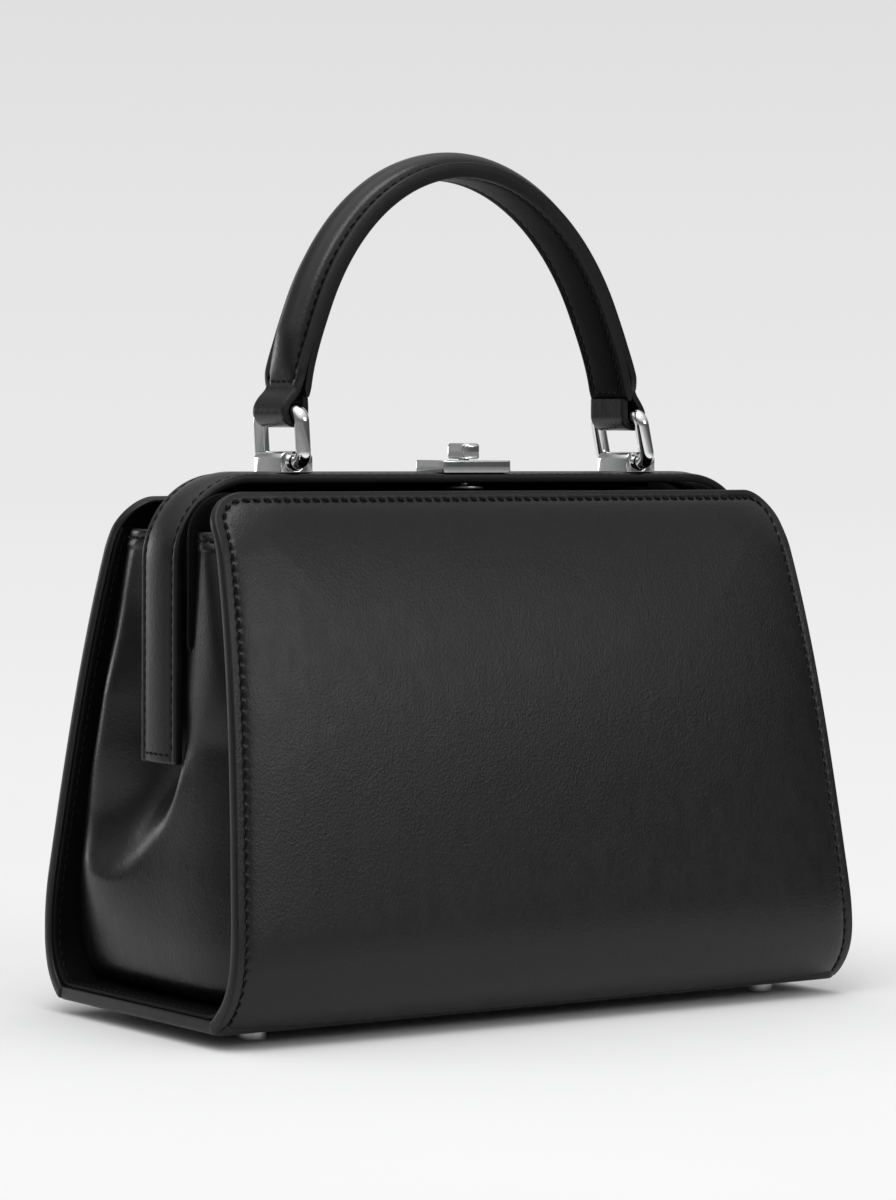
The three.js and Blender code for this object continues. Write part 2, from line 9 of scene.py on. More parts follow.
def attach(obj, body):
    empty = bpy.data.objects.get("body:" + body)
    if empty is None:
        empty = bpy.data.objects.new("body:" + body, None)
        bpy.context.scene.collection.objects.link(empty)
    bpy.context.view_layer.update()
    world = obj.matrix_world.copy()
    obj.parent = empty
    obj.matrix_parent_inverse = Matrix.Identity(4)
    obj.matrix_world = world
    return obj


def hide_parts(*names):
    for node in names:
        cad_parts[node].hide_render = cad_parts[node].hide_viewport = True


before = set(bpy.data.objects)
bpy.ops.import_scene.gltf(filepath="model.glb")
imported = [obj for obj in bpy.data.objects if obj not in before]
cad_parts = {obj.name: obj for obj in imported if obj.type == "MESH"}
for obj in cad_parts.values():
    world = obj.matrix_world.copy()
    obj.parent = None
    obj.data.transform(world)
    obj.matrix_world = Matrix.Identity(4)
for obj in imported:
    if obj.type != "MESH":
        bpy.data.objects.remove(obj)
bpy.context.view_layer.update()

# Leather frame handbag. Sizes below are millimetres, +Z up, front towards -Y.
MM = 0.001
scene = bpy.context.scene

# ------------------------------------------------------------------ sizes
GAP = 0.35
CENTRE_Y = -1.1975               # puts the middle of the whole depth on y = 0
FOOT = dict(height=4.35, diameter=9.2, x=102.0, y=33.6)
BASE = dict(bottom=4.7, top=9.1, half_x=124.6, front=49.6, corner=5.0)
PANEL = dict(thickness=4.0, top=171.2, foot=4.7, half_foot=125.0, half_top=112.6, corner=12.0,
             depth_foot=62.6, depth_top=26.9, belly=18.94, skew=26.64,
             bend_start=31.5, bend_radius=27.0, bend_end=math.radians(53), foot_radius=4.0, foot_end=math.radians(89), bend_ease=7.0)
BACK_TOP = dict(top=168.9, corner=12.5)
BACK_SHIFT = dict(low=1.8, high=4.3, start=16.0, end=46.0)
CURL = dict(depth=4.0, x=(88.0, 114.0), z=(151.0, 171.2))
RIM = 0.75                       # rounding of the painted panel edges
STITCH = dict(pitch=3.6, length=2.75, width=0.78, height=0.5)
GUSSET = dict(wall=2.4, top=158.5, rise=0.85, fall=2.2, low=(60.0, 110.0), front_power=(4.0, 18.0),
              back_power=(2.6, 3.4), back_turn=(0.5, 0.15))
# height, outermost half width, inset of the sewn edge from the panel rims
CREST = [(9.4, 105.0, 21), (11, 110.6, 20), (13.5, 114.6, 19), (17, 116.9, 17.5), (24, 118.2, 15.5), (32, 118.6, 14.2),
         (46, 118.0, 12.8), (60, 117.0, 12.2), (84, 116.4, 11.5), (104, 115.9, 10.5), (139, 115.0, 8.5), (159, 114.2, 7)]
# height, top of the front roll, crease behind it, back crest, depth of the valley between the last two
VALLEY = [(46, 0.0, 8.0, 46.0, 0), (50, -2.0, 7.0, 46.0, 1.6), (54, -4.0, 5.0, 46.0, 3.3), (58, -7.0, 2.0, 46.0, 4.8), (63, -11.0, -1.8, 46.0, 6.4),
          (70, -17.0, -6.2, 45.6, 8.4), (77, -22.0, -9.8, 44.6, 10.6), (84, -26.0, -11.2, 43.2, 12.8), (92, -28.5, -11.4, 41.0, 15.0), (104, -31.5, -11.2, 37.4, 18.0),
          (125, -33.5, -10.4, 30.4, 20.5), (139, -33.0, -12.2, 26.2, 22.0), (150, -31.5, -14.2, 21.5, 22.5), (159, -30.0, -15.8, 14.5, 23.0)]
SWELL = dict(height=4.8, low=(24.0, 52.0), high=(104.0, 138.0), back=10.0, width=(24.0, 11.0))   # fullness of the back pleat
WALL = dict(thickness=1.8, inner=15.0)
WALL_TOP = dict(front=(170.5, 14.0, 200.0), back=(173.0, 5.0, 96.5))
WALL_FRONT = [(9.45, 96), (30, 106), (60, 109), (112, 109), (122, 115.3)]
WALL_BACK = [(9.45, 96), (24, 101), (60, 101), (122, 101), (152, 101.4), (161, 107.6), (166.5, 108.5)]
LIP = dict(half=84.0, inner=6.2, top=173.1)
BAND = dict(half=116.6, top=176.25, radius=28.0, thickness=3.05, half_y=10.4, end=84.9, edge=0.75)
PLATE = dict(width=27.6, depth=17.3, bottom=176.6, top=180.7, corner=1.6, edge=0.5)
KNOB = dict(width=6.7, length=11.8, bottom=181.05, top=186.35, corner=2.2, edge=1.3)
SPINDLE = dict(diameter=4.0, washer=13.0, washer_bottom=171.2, washer_top=172.2)
CLASP_Y = -1.5
RING = dict(wire=5.0, bar_z=180.2, half_span=12.2, height=16.0, corner=3.4)
RING_PLACE = dict(left=(-69.9, 1.1), right=(69.2, 3.6))   # place of the bar and lean of the ring
KNUCKLE = dict(width=12.3, depth=16.0, bottom=176.6, side=181.2, top=183.5, bore=2.85, mouth=2.0, edge=0.35)
HANDLE = dict(half_span=62.6, rise=83.2, spring_z=190.0, centre_x=-2.2, lean=-0.03, flare=1.6, flare_top=230.0,
              width=21.0, loop_width=18.2, strap=2.6, loop=2.2, lining=2.6, crown=3.6, lining_end=200.7,
              loop_top=203.0, crown_start=204.6, crown_full=222.0, loop_left=6.2, loop_right=5.1)


# ---------------------------------------------------------------- helpers
def lerp(a, b, t):
    return a + (b - a) * t


def smooth(x, a, b):
    t = np.clip((np.asarray(x, float) - a) / (b - a), 0, 1)
    return t * t * (3 - 2 * t)


def column(rows, k, z):
    """One column of a table at height z, smoothed between its rows."""
    zs, vs = np.array([r[0] for r in rows], float), np.array([r[k] for r in rows], float)
    m = np.gradient(vs, zs)
    m[1:-1] = (vs[2:] - vs[:-2]) / (zs[2:] - zs[:-2])
    z = np.clip(np.asarray(z, float), zs[0], zs[-1])
    i = np.clip(np.searchsorted(zs, z, side="right") - 1, 0, len(zs) - 2)
    span = zs[i + 1] - zs[i]
    t = (z - zs[i]) / span
    return (vs[i] * (2 * t**3 - 3 * t**2 + 1) + vs[i + 1] * (3 * t**2 - 2 * t**3)
            + span * (m[i] * (t**3 - 2 * t**2 + t) + m[i + 1] * (t**3 - t**2)))


class Shape:
    """Collects points in millimetres and faces, and turns them into one object."""

    def __init__(self):
        self.points, self.faces, self.slots, self.count = [], [], [], 0

    def add(self, points):
        points = np.asarray(points, float)
        ids = np.arange(self.count, self.count + points.size // 3).reshape(points.shape[:-1])
        self.points.append(points.reshape(-1, 3))
        self.count += points.size // 3
        return ids

    def quads(self, ids, slot=0, wrap=False):
        if wrap:
            ids = np.hstack([ids, ids[:, :1]])
        q = np.stack([ids[:-1, :-1], ids[:-1, 1:], ids[1:, 1:], ids[1:, :-1]], -1)
        s = np.broadcast_to(np.asarray(slot), q.shape[:2])
        self.faces += q.reshape(-1, 4).tolist()
        self.slots += s.reshape(-1).tolist()

    def cap(self, ids, slot=0):
        self.faces.append([int(i) for i in ids])
        self.slots.append(slot)

    def build(self, name, materials, angle=42, recalc=True):
        mesh = bpy.data.meshes.new(name)
        mesh.from_pydata(((np.vstack(self.points) + [0, CENTRE_Y, 0]) * MM).tolist(), [], self.faces)
        for m in materials:
            mesh.materials.append(m)
        mesh.polygons.foreach_set("material_index", np.array(self.slots, np.int32))
        bm = bmesh.new()
        bm.from_mesh(mesh)
        bmesh.ops.remove_doubles(bm, verts=bm.verts, dist=2e-6)
        if recalc:
            bmesh.ops.recalc_face_normals(bm, faces=bm.faces)
        bm.to_mesh(mesh)
        bm.free()
        mesh.polygons.foreach_set("use_smooth", np.ones(len(mesh.polygons), bool))
        mesh.set_sharp_from_angle(angle=math.radians(angle))
        ob = bpy.data.objects.new(name, mesh)
        scene.collection.objects.link(ob)
        return ob


def place(ob, slot, *nodes, body="bag"):
    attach(ob, body)
    if nodes:
        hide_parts(*nodes)
    return ob


def unit(v):
    return v / np.maximum(np.linalg.norm(v, axis=-1, keepdims=True), 1e-12)


def resample(points, step):
    """Points evenly spaced along a polyline, with their distances along it."""
    d = np.r_[0, np.cumsum(np.linalg.norm(np.diff(points, axis=0), axis=1))]
    n = max(int(round(d[-1] / step)), 1)
    s = np.linspace(0, d[-1], n + 1)
    return np.stack([np.interp(s, d, points[:, k]) for k in range(points.shape[1])], 1), s


# -------------------------------------------------------------- materials
class Nodes:
    def __init__(self, name):
        self.material = bpy.data.materials.new(name)
        self.material.use_nodes = True
        self.tree = self.material.node_tree
        self.tree.nodes.clear()
        self.out = self.node("ShaderNodeOutputMaterial")
        self.shader = self.node("ShaderNodeBsdfPrincipled")
        self.link(self.shader.outputs[0], self.out.inputs["Surface"])
        place_ = self.node("ShaderNodeTexCoord")
        self.mm = self.node("ShaderNodeMapping")
        self.mm.inputs["Scale"].default_value = (1000, 1000, 1000)
        self.link(place_.outputs["Object"], self.mm.inputs["Vector"])
        self.place = self.mm.outputs["Vector"]

    def node(self, kind, **settings):
        n = self.tree.nodes.new(kind)
        for k, v in settings.items():
            setattr(n, k, v)
        return n

    def link(self, a, b):
        self.tree.links.new(a, b)

    def stretched(self, scale):
        m = self.node("ShaderNodeMapping")
        m.inputs["Scale"].default_value = scale
        self.link(self.place, m.inputs["Vector"])
        return m.outputs["Vector"]

    def noise(self, scale, detail=2.0, rough=0.5, vector=None):
        n = self.node("ShaderNodeTexNoise")
        n.inputs["Scale"].default_value = scale
        n.inputs["Detail"].default_value = detail
        n.inputs["Roughness"].default_value = rough
        self.link(vector or self.place, n.inputs["Vector"])
        return n.outputs["Fac"]

    def cells(self, scale, feature="SMOOTH_F1", vector=None):
        n = self.node("ShaderNodeTexVoronoi", feature=feature)
        n.inputs["Scale"].default_value = scale
        self.link(vector or self.place, n.inputs["Vector"])
        return n.outputs["Distance"]

    def spread(self, value, lo, hi, a=0.0, b=1.0):
        n = self.node("ShaderNodeMapRange")
        n.inputs["From Min"].default_value, n.inputs["From Max"].default_value = a, b
        n.inputs["To Min"].default_value, n.inputs["To Max"].default_value = lo, hi
        self.link(value, n.inputs["Value"])
        return n.outputs["Result"]

    def math(self, kind, a, b):
        n = self.node("ShaderNodeMath", operation=kind)
        for k, v in enumerate((a, b)):
            if isinstance(v, (int, float)):
                n.inputs[k].default_value = v
            else:
                self.link(v, n.inputs[k])
        return n.outputs[0]

    def ramp(self, value, stops):
        n = self.node("ShaderNodeValToRGB")
        e = n.color_ramp.elements
        while len(e) < len(stops):
            e.new(0.5)
        for k, (at, colour) in enumerate(stops):
            e[k].position = at
            e[k].color = (*colour, 1)
        self.link(value, n.inputs["Fac"])
        return n.outputs["Color"]

    def bump(self, height, strength, distance):
        n = self.node("ShaderNodeBump")
        n.inputs["Strength"].default_value = strength
        n.inputs["Distance"].default_value = distance
        self.link(height, n.inputs["Height"])
        self.link(n.outputs["Normal"], self.shader.inputs["Normal"])

    def set(self, **values):
        for k, v in values.items():
            self.shader.inputs[k.replace("_", " ")].default_value = v


def leather(name, dark, light, rough, grain=1.5, strength=0.22, specular=0.5, ior=1.5):
    """Smooth calf leather: pebbled grain, fine pores and slow changes of tone."""
    n = Nodes(name)
    warp = n.noise(0.9, 2)
    tone = n.noise(0.028, 4, 0.6)
    cells = n.cells(grain, vector=n.stretched((1.0, 1.0, 0.82)))
    pores = n.noise(5.0, 3, 0.6)
    folds = n.noise(0.22, 3, 0.55, n.stretched((1.0, 1.0, 0.45)))
    height = n.math("ADD", n.math("MULTIPLY", cells, 0.75), n.math("MULTIPLY", pores, 0.35))
    height = n.math("ADD", height, n.math("MULTIPLY", folds, 0.55))
    height = n.math("ADD", height, n.math("MULTIPLY", warp, 0.25))
    height = n.math("ADD", height, n.math("MULTIPLY", n.noise(0.07, 3, 0.55), 0.8))
    mixed = n.math("ADD", n.math("MULTIPLY", tone, 0.75), n.math("MULTIPLY", cells, 0.3))
    n.link(n.ramp(mixed, [(0.25, (dark,) * 3), (0.8, (light,) * 3)]), n.shader.inputs["Base Color"])
    n.link(n.spread(n.math("ADD", n.math("MULTIPLY", folds, 0.6), n.math("MULTIPLY", pores, 0.4)),
                    rough - 0.06, rough + 0.06, 0.3, 0.7), n.shader.inputs["Roughness"])
    n.bump(height, strength, 0.00022)
    n.set(Specular_IOR_Level=specular, IOR=ior)
    return n.material


def edge_paint(name, dark, light, rough, ior):
    """Painted cut edge: slightly uneven, a little lighter where it is rubbed."""
    n = Nodes(name)
    tone = n.noise(0.12, 4, 0.6)
    ripple = n.noise(1.1, 3, 0.5)
    n.link(n.ramp(tone, [(0.3, (dark,) * 3), (0.75, (light,) * 3)]), n.shader.inputs["Base Color"])
    n.link(n.spread(ripple, rough - 0.05, rough + 0.07, 0.3, 0.7), n.shader.inputs["Roughness"])
    n.bump(n.math("ADD", n.math("MULTIPLY", ripple, 0.7), n.math("MULTIPLY", n.noise(6, 2), 0.2)), 0.2, 0.0002)
    n.set(Specular_IOR_Level=0.5, IOR=ior)
    return n.material


def thread(name):
    """Waxed sewing thread with its twist."""
    n = Nodes(name)
    twist = n.node("ShaderNodeTexWave", wave_type="BANDS", bands_direction="DIAGONAL")
    twist.inputs["Scale"].default_value = 0.9
    twist.inputs["Distortion"].default_value = 0.6
    n.link(n.place, twist.inputs["Vector"])
    fibres = n.noise(7, 3, 0.6)
    n.link(n.ramp(fibres, [(0.3, (0.0010,) * 3), (0.8, (0.0036,) * 3)]), n.shader.inputs["Base Color"])
    n.link(n.spread(fibres, 0.52, 0.7, 0.3, 0.7), n.shader.inputs["Roughness"])
    n.bump(n.math("ADD", n.math("MULTIPLY", twist.outputs["Fac"], 0.6), n.math("MULTIPLY", fibres, 0.4)), 0.35, 0.00012)
    n.set(Specular_IOR_Level=0.3, IOR=1.3)
    return n.material


def polished(name, dark, light, rough, haze):
    """Plated metal: faint polishing marks and slow changes of haze."""
    n = Nodes(name)
    slow = n.noise(0.35, 3, 0.55)
    marks = n.noise(3.0, 2, 0.5, n.stretched((0.35, 0.35, 2.2)))
    n.link(n.ramp(slow, [(0.3, dark), (0.75, light)]), n.shader.inputs["Base Color"])
    n.link(n.spread(n.math("ADD", n.math("MULTIPLY", slow, 0.5), n.math("MULTIPLY", marks, 0.5)),
                    rough, rough + haze, 0.3, 0.7), n.shader.inputs["Roughness"])
    n.bump(marks, 0.03, 0.00005)
    n.set(Metallic=1.0)
    return n.material


LEATHER = leather("black_calf", 0.0016, 0.0034, 0.34, strength=0.42, specular=0.39)
LEATHER_SOFT = leather("black_calf_soft", 0.0014, 0.0030, 0.30, grain=1.35, strength=0.36, specular=0.31)
LEATHER_STRAP = leather("black_calf_strap", 0.0014, 0.0030, 0.27, grain=1.35, strength=0.22, specular=0.45)
LEATHER_MATTE = leather("black_calf_matte", 0.0022, 0.0045, 0.46, grain=1.3, strength=0.3, specular=0.5, ior=1.11)
LEATHER_BACK = leather("black_calf_inside", 0.0015, 0.0030, 0.55, grain=1.2, strength=0.3, specular=0.10)
EDGE = edge_paint("black_edge_paint", 0.0030, 0.0060, 0.36, 1.36)
THREAD = thread("black_thread")
CHROME = polished("polished_chrome", (0.80, 0.805, 0.81), (0.88, 0.885, 0.89), 0.035, 0.05)
SATIN = polished("satin_steel", (0.50, 0.505, 0.51), (0.60, 0.605, 0.61), 0.27, 0.10)


# ----------------------------------------------------------------- panels
def rim_half(z):
    return lerp(PANEL["half_foot"], PANEL["half_top"], (z - PANEL["foot"]) / (PANEL["top"] - PANEL["foot"]))


def face_depth(z):
    t = (z - PANEL["foot"]) / (PANEL["top"] - PANEL["foot"])
    hump = t * (1 - t)
    return lerp(PANEL["depth_foot"], PANEL["depth_top"], t) + PANEL["belly"] * hump + PANEL["skew"] * hump * (t - 0.5)


def face_slope(z):
    return face_depth(z + 0.5) - face_depth(z - 0.5)


BEND_LEAN = math.atan(-face_slope(PANEL["bend_start"]))
BEND_Y = face_depth(PANEL["bend_start"]) - PANEL["bend_radius"] * math.cos(BEND_LEAN)
BEND_Z = PANEL["bend_start"] - PANEL["bend_radius"] * math.sin(BEND_LEAN)


def inside_depth(z):
    z = np.asarray(z, float)
    r = PANEL["bend_radius"] - PANEL["thickness"]
    dz = np.minimum(BEND_Z - z, r * math.sin(PANEL["bend_end"]))
    bend = BEND_Y + np.sqrt(np.maximum(r * r - dz * dz, 0))
    return np.where(z > PANEL["bend_start"], face_depth(z) - PANEL["thickness"] * np.hypot(1, face_slope(z)), bend)


def back_shift(z):
    return lerp(BACK_SHIFT["low"], BACK_SHIFT["high"], smooth(z, BACK_SHIFT["start"], BACK_SHIFT["end"]))


def edge_depth(z, side):
    """Where the panel's inner face is, on the front (-1) or the back (1)."""
    return inside_depth(z) + (back_shift(z) if side > 0 else 0)


def curled(x, z):
    """How far the upper corners of the panels bend towards the frame."""
    return CURL["depth"] * smooth(np.abs(x), *CURL["x"]) * smooth(z, *CURL["z"])


def on_side(x, y, z, side):
    """Moves a point of the plain panel to its own side."""
    return np.stack([x + 0 * y, side * (y - curled(x, z)) + (back_shift(z) if side > 0 else 0), z + 0 * y], -1)


def panel_profile(top):
    """The panel's section from its top edge down: y, z and outward normal against length."""
    z = np.linspace(top, PANEL["bend_start"], 500)
    lean = np.arctan(-face_slope(z))
    a = np.linspace(-BEND_LEAN, PANEL["bend_end"], 160)[1:]
    b = np.linspace(PANEL["bend_end"], PANEL["foot_end"], 60)[1:]
    inner = PANEL["bend_radius"] - PANEL["foot_radius"]
    by, bz = BEND_Y + inner * math.cos(PANEL["bend_end"]), BEND_Z - inner * math.sin(PANEL["bend_end"])
    y = np.r_[face_depth(z), BEND_Y + PANEL["bend_radius"] * np.cos(a), by + PANEL["foot_radius"] * np.cos(b)]
    zz = np.r_[z, BEND_Z - PANEL["bend_radius"] * np.sin(a), bz - PANEL["foot_radius"] * np.sin(b)]
    ny, nz = np.r_[np.cos(lean), np.cos(a), np.cos(b)], np.r_[np.sin(lean), -np.sin(a), -np.sin(b)]
    s = np.r_[0, np.cumsum(np.hypot(np.diff(y), np.diff(zz)))]
    # the face runs into the bend gradually
    knee = s[len(z) - 1]
    reach = PANEL["bend_ease"] * smooth(s, knee - 30, knee - 16) * (1 - smooth(s, knee, knee + 28))
    near = reach > 0.3
    weight = np.exp(-0.5 * ((s[None, :] - s[near, None]) / reach[near, None]) ** 2) * np.gradient(s)[None, :]
    weight /= weight.sum(1, keepdims=True)
    eased_y, eased_z = weight @ y, weight @ zz
    y[near], zz[near] = eased_y, eased_z
    s = np.r_[0, np.cumsum(np.hypot(np.diff(y), np.diff(zz)))]
    ty, tz = np.gradient(y, s), np.gradient(zz, s)
    size = np.hypot(ty, tz)
    ny[near], nz[near] = (-tz / size)[near], (ty / size)[near]
    return s, y, zz, ny, nz


PROFILES = {-1: panel_profile(PANEL["top"]), 1: panel_profile(BACK_TOP["top"])}
CORNERS = {-1: PANEL["corner"], 1: BACK_TOP["corner"]}


def panel_length(side):
    return PROFILES[side][0][-1]


def panel_at(s, side):
    profile = PROFILES[side]
    return [np.interp(s, profile[0], profile[k]) for k in (1, 2, 3, 4)]


def panel_point(x, s, lift, side):
    y, z, ny, nz = panel_at(s, side)
    return on_side(x, y + ny * lift, z + nz * lift, side)


def panel_half(s, side):
    return rim_half(panel_at(s, side)[1])


def panel_seam(side_inset, top_inset, end, side):
    """Sewing line up one side, round the corners, along the top and down: x and length."""
    r = CORNERS[side]
    s = np.arange(panel_length(side) - end, r, -0.4)
    left = np.stack([-(panel_half(s, side) - side_inset), s], 1)
    a = np.linspace(0, math.pi / 2, 40)
    rr = lerp(r - side_inset, r - top_inset, a / (math.pi / 2))
    corner = np.stack([-(panel_half(r, side) - r) - rr * np.cos(a), r - rr * np.sin(a)], 1)
    half = np.vstack([left, corner])
    other = half[::-1] * [-1, 1]
    return np.vstack([half, other])


SEAMS, PITCHES = {}, {}
for side in (-1, 1):
    SEAMS[side] = resample(panel_seam(3.8, 3.1, 1.5, side), 0.3)
    PITCHES[side] = SEAMS[side][1][-1] / round(SEAMS[side][1][-1] / STITCH["pitch"])


def edge_distance(x, s, side):
    """Distance from the panel's left, top and right edges."""
    r, half = CORNERS[side], panel_half(s, side)
    qx, qs = np.abs(x) - (half - r), r - s
    return np.where((qx > 0) & (qs > 0), r - np.hypot(np.maximum(qx, 0), np.maximum(qs, 0)),
                    np.minimum(half - np.abs(x), s))


def panel_lift(x, s, side):
    """Padding behind the leather, the sunk sewing line and the pull of each needle hole."""
    x, s = np.broadcast_arrays(np.asarray(x, float), np.asarray(s, float))
    d, whole = edge_distance(x, s, side), panel_length(side)
    low = 1 - np.exp(-np.maximum(whole - s, 0) / 7.0)
    rise = np.maximum(d - 3.7, 0)
    puff = (0.75 * (1 - np.exp(-rise / 2.4)) + 1.9 * (1 - np.exp(-rise / 15.0))) * low
    u, v = np.clip(x / panel_half(s, side), -1, 1), np.clip(s / whole, 0, 1)
    belly = 1.6 * (1 - u**2) * np.sin(math.pi * v)
    lift = puff + belly
    near = (d < 8).ravel()
    if near.any():
        seam, seam_s = SEAMS[side]
        p = np.stack([x.ravel()[near], s.ravel()[near]], 1)
        dist, along = np.empty(len(p)), np.empty(len(p))
        for k in range(0, len(p), 1500):
            q = ((p[k:k + 1500, None] - seam[None]) ** 2).sum(2)
            j = q.argmin(1)
            dist[k:k + 1500], along[k:k + 1500] = np.sqrt(q[np.arange(len(j)), j]), seam_s[j]
        hole = ((along / PITCHES[side] + 0.5) % 1 - 0.5) * PITCHES[side]
        pull = np.exp(-(hole / 0.75) ** 2)
        sink = 0.26 * np.exp(-(dist / 0.6) ** 2) + 0.50 * np.exp(-(dist / 0.62) ** 2) * pull + 0.06 * np.exp(-(dist / 1.8) ** 2) * pull
        flat_lift = lift.ravel().copy()
        flat_lift[near] -= sink
        lift = flat_lift.reshape(lift.shape)
    return lift


def panel(name, node, side):
    shape, r, corner, t = Shape(), RIM, CORNERS[side], PANEL["thickness"]
    near = np.array([0, 0.35, 0.8, 1.3, 1.8, 2.2, 2.6, 2.9, 3.2, 3.55, 3.95, 4.4, 5.0, 5.8, 6.9, 8.4])
    top = np.r_[0, 0.05, 0.18, 0.4, 0.75, 1.2, 1.6, 1.95, 2.25, 2.55, 2.95, 3.5, 4.2, 5.0, 5.8]
    body = np.linspace(top[-1], panel_length(side) - 2 * r, 300)[1:]
    s = np.r_[top, body] + r
    half = panel_half(s, side) - r
    bend = corner - r
    short = np.maximum(corner - s, 0)
    half = half - np.where(s < corner, bend - np.sqrt(np.maximum(bend**2 - short**2, 0)), 0)
    middle = np.linspace(-1, 1, 190)[1:-1]
    x = np.concatenate([-half[:, None] + near, middle * (half[:, None] - near[-1]),
                        (half[:, None] - near)[:, ::-1]], axis=1)
    grid_s = np.repeat(s[:, None], x.shape[1], 1)
    outer = shape.add(panel_point(x, grid_s, panel_lift(x, grid_s, side), side))
    shape.quads(outer, 0)
    # the outline, with its direction outwards in the surface
    rows, cols = x.shape
    loop = ([(j, 0) for j in range(rows)] + [(rows - 1, i) for i in range(1, cols)]
            + [(j, cols - 1) for j in range(rows - 2, -1, -1)] + [(0, i) for i in range(cols - 2, 0, -1)])
    jj, ii = np.array(loop).T
    px, ps = x[jj, ii], s[jj]
    ox, os_ = np.zeros(len(px)), np.zeros(len(px))
    upright = (ii == 0) | (ii == cols - 1)
    ox[upright] = np.sign(px[upright])
    arc = (ps < corner) & upright
    cx = panel_half(np.array([corner]), side)[0] - corner
    ox[arc] = np.sign(px[arc]) * (np.abs(px[arc]) - cx) / bend
    os_[arc] = -(corner - ps[arc]) / bend
    flat_top = (jj == 0) & ~upright
    os_[flat_top] = -1
    bottom = jj == rows - 1
    os_[bottom] = 1
    length = np.hypot(ox, os_)
    ox, os_ = ox / length, os_ / length
    y, z, ny, nz = panel_at(ps, side)
    lift = panel_lift(px, ps, side)
    loops = []
    steps = [(math.sin(a), 1 - math.cos(a)) for a in np.linspace(0, math.pi / 2, 6)[1:]]
    profile = [(r * o, r * d) for o, d in steps]
    profile += [(r + 0.12, t * 0.36), (r + 0.14, t * 0.64)]
    profile += [(r * o, t - r * d) for o, d in reversed(steps)] + [(0.0, t)]
    for o, d in profile:
        level = -d + lift * max(1 - d / r, 0)
        ty, tz = nz, -ny
        loops.append(on_side(px + ox * o, y + ny * level + ty * os_ * o, z + nz * level + tz * os_ * o, side))
    ids = np.vstack([outer[jj, ii][None], shape.add(np.array(loops))])
    shape.quads(ids, 2, wrap=True)
    # plain inner face with fewer columns, sharing the outline at both sides
    shape.quads(shape.add(panel_point(lerp(x[:, :1], x[:, -1:], np.linspace(0, 1, 24)[None]), np.repeat(s[:, None], 24, 1), -t, side)), 1)
    ob = shape.build(name, [LEATHER, LEATHER_BACK, EDGE], 60)
    return place(ob, "leather", node)


panel("front_panel_leather", "front_panel", -1)
panel("back_panel_leather", "back_panel", 1)


# --------------------------------------------------------------- stitching
def stitches(shape, path, normal, pitch=None, length=None, width=None, height=None, slant=0.10, sink=0.16, skip=0.0):
    """Adds one row of stitches along a path of points with its surface normals."""
    pitch, length = pitch or STITCH["pitch"], length or STITCH["length"]
    width, height = width or STITCH["width"], height or STITCH["height"]
    d = np.r_[0, np.cumsum(np.linalg.norm(np.diff(path, axis=0), axis=1))]
    n = max(int(round((d[-1] - 2 * skip) / pitch)), 1)
    step = (d[-1] - 2 * skip) / n
    u = np.array([0, 0.1, 0.28, 0.5, 0.72, 0.9, 1.0])
    at = skip + (np.arange(n)[:, None] + 0.5) * step + (u - 0.5) * length * step / pitch
    where = np.stack([np.interp(at, d, path[:, k]) for k in range(3)], -1)
    up = unit(np.stack([np.interp(at, d, normal[:, k]) for k in range(3)], -1))
    tangent = unit(np.gradient(where, axis=1))
    across = unit(np.cross(tangent, up))
    arch = 1 - np.abs(2 * u - 1) ** 3
    centre = where + up * (height * (0.62 * arch - 0.34) - sink)[None, :, None] * 1.0
    centre = centre + across * ((u - 0.5) * 2 * slant * width)[None, :, None] * 2
    girth = np.array([0.42, 0.78, 0.98, 1.0, 0.98, 0.78, 0.42])
    a = np.linspace(0, 2 * math.pi, 9)[:-1]
    ring = (across[:, :, None] * (0.5 * width * np.cos(a))[None, None, :, None]
            + up[:, :, None] * (0.5 * height * np.sin(a))[None, None, :, None]) * girth[None, :, None, None]
    points = centre[:, :, None] + ring
    for k in range(n):
        ids = shape.add(points[k])
        shape.quads(ids, 0, wrap=True)
        shape.cap(ids[0])
        shape.cap(ids[-1][::-1])


for name, side in (("front_panel_stitching", -1), ("back_panel_stitching", 1)):
    shape = Shape()
    x, along = SEAMS[side][0].T
    _, _, ny, nz = panel_at(along, side)
    stitches(shape, panel_point(x, along, 0.06, side), np.stack([0 * x, side * ny, nz], 1), pitch=PITCHES[side], slant=0.22, sink=0.2)
    place(shape.build(name, [THREAD], 70), "thread")


# ----------------------------------------------------- slabs and swept bars
def rounded_rectangle(width, depth, radius, cx=0.0, cy=0.0, steps=8):
    out = []
    for k, (sx, sy) in enumerate(((1, 1), (-1, 1), (-1, -1), (1, -1))):
        for a in np.linspace(0, math.pi / 2, steps + 1) + k * math.pi / 2:
            out.append((cx + sx * (width / 2 - radius) + radius * math.cos(a),
                        cy + sy * (depth / 2 - radius) + radius * math.sin(a)))
    return np.array(out)


def inset(outline, d):
    """A closed outline moved inwards by d, for an outline that runs anticlockwise."""
    t = unit(np.roll(outline, -1, 0) - outline)
    n = np.stack([-t[:, 1], t[:, 0]], 1)
    m = unit(n + np.roll(n, 1, 0))
    scale = 1 / np.maximum((m * n).sum(1), 0.45)
    return outline + m * (scale * d)[:, None]


def densify(outline, step):
    """More points on the long sides of a closed outline."""
    out = []
    for a, b in zip(outline, np.roll(outline, -1, 0)):
        n = max(int(np.linalg.norm(b - a) // step), 1)
        out += [lerp(a, b, k / n) for k in range(n)]
    return np.array(out)


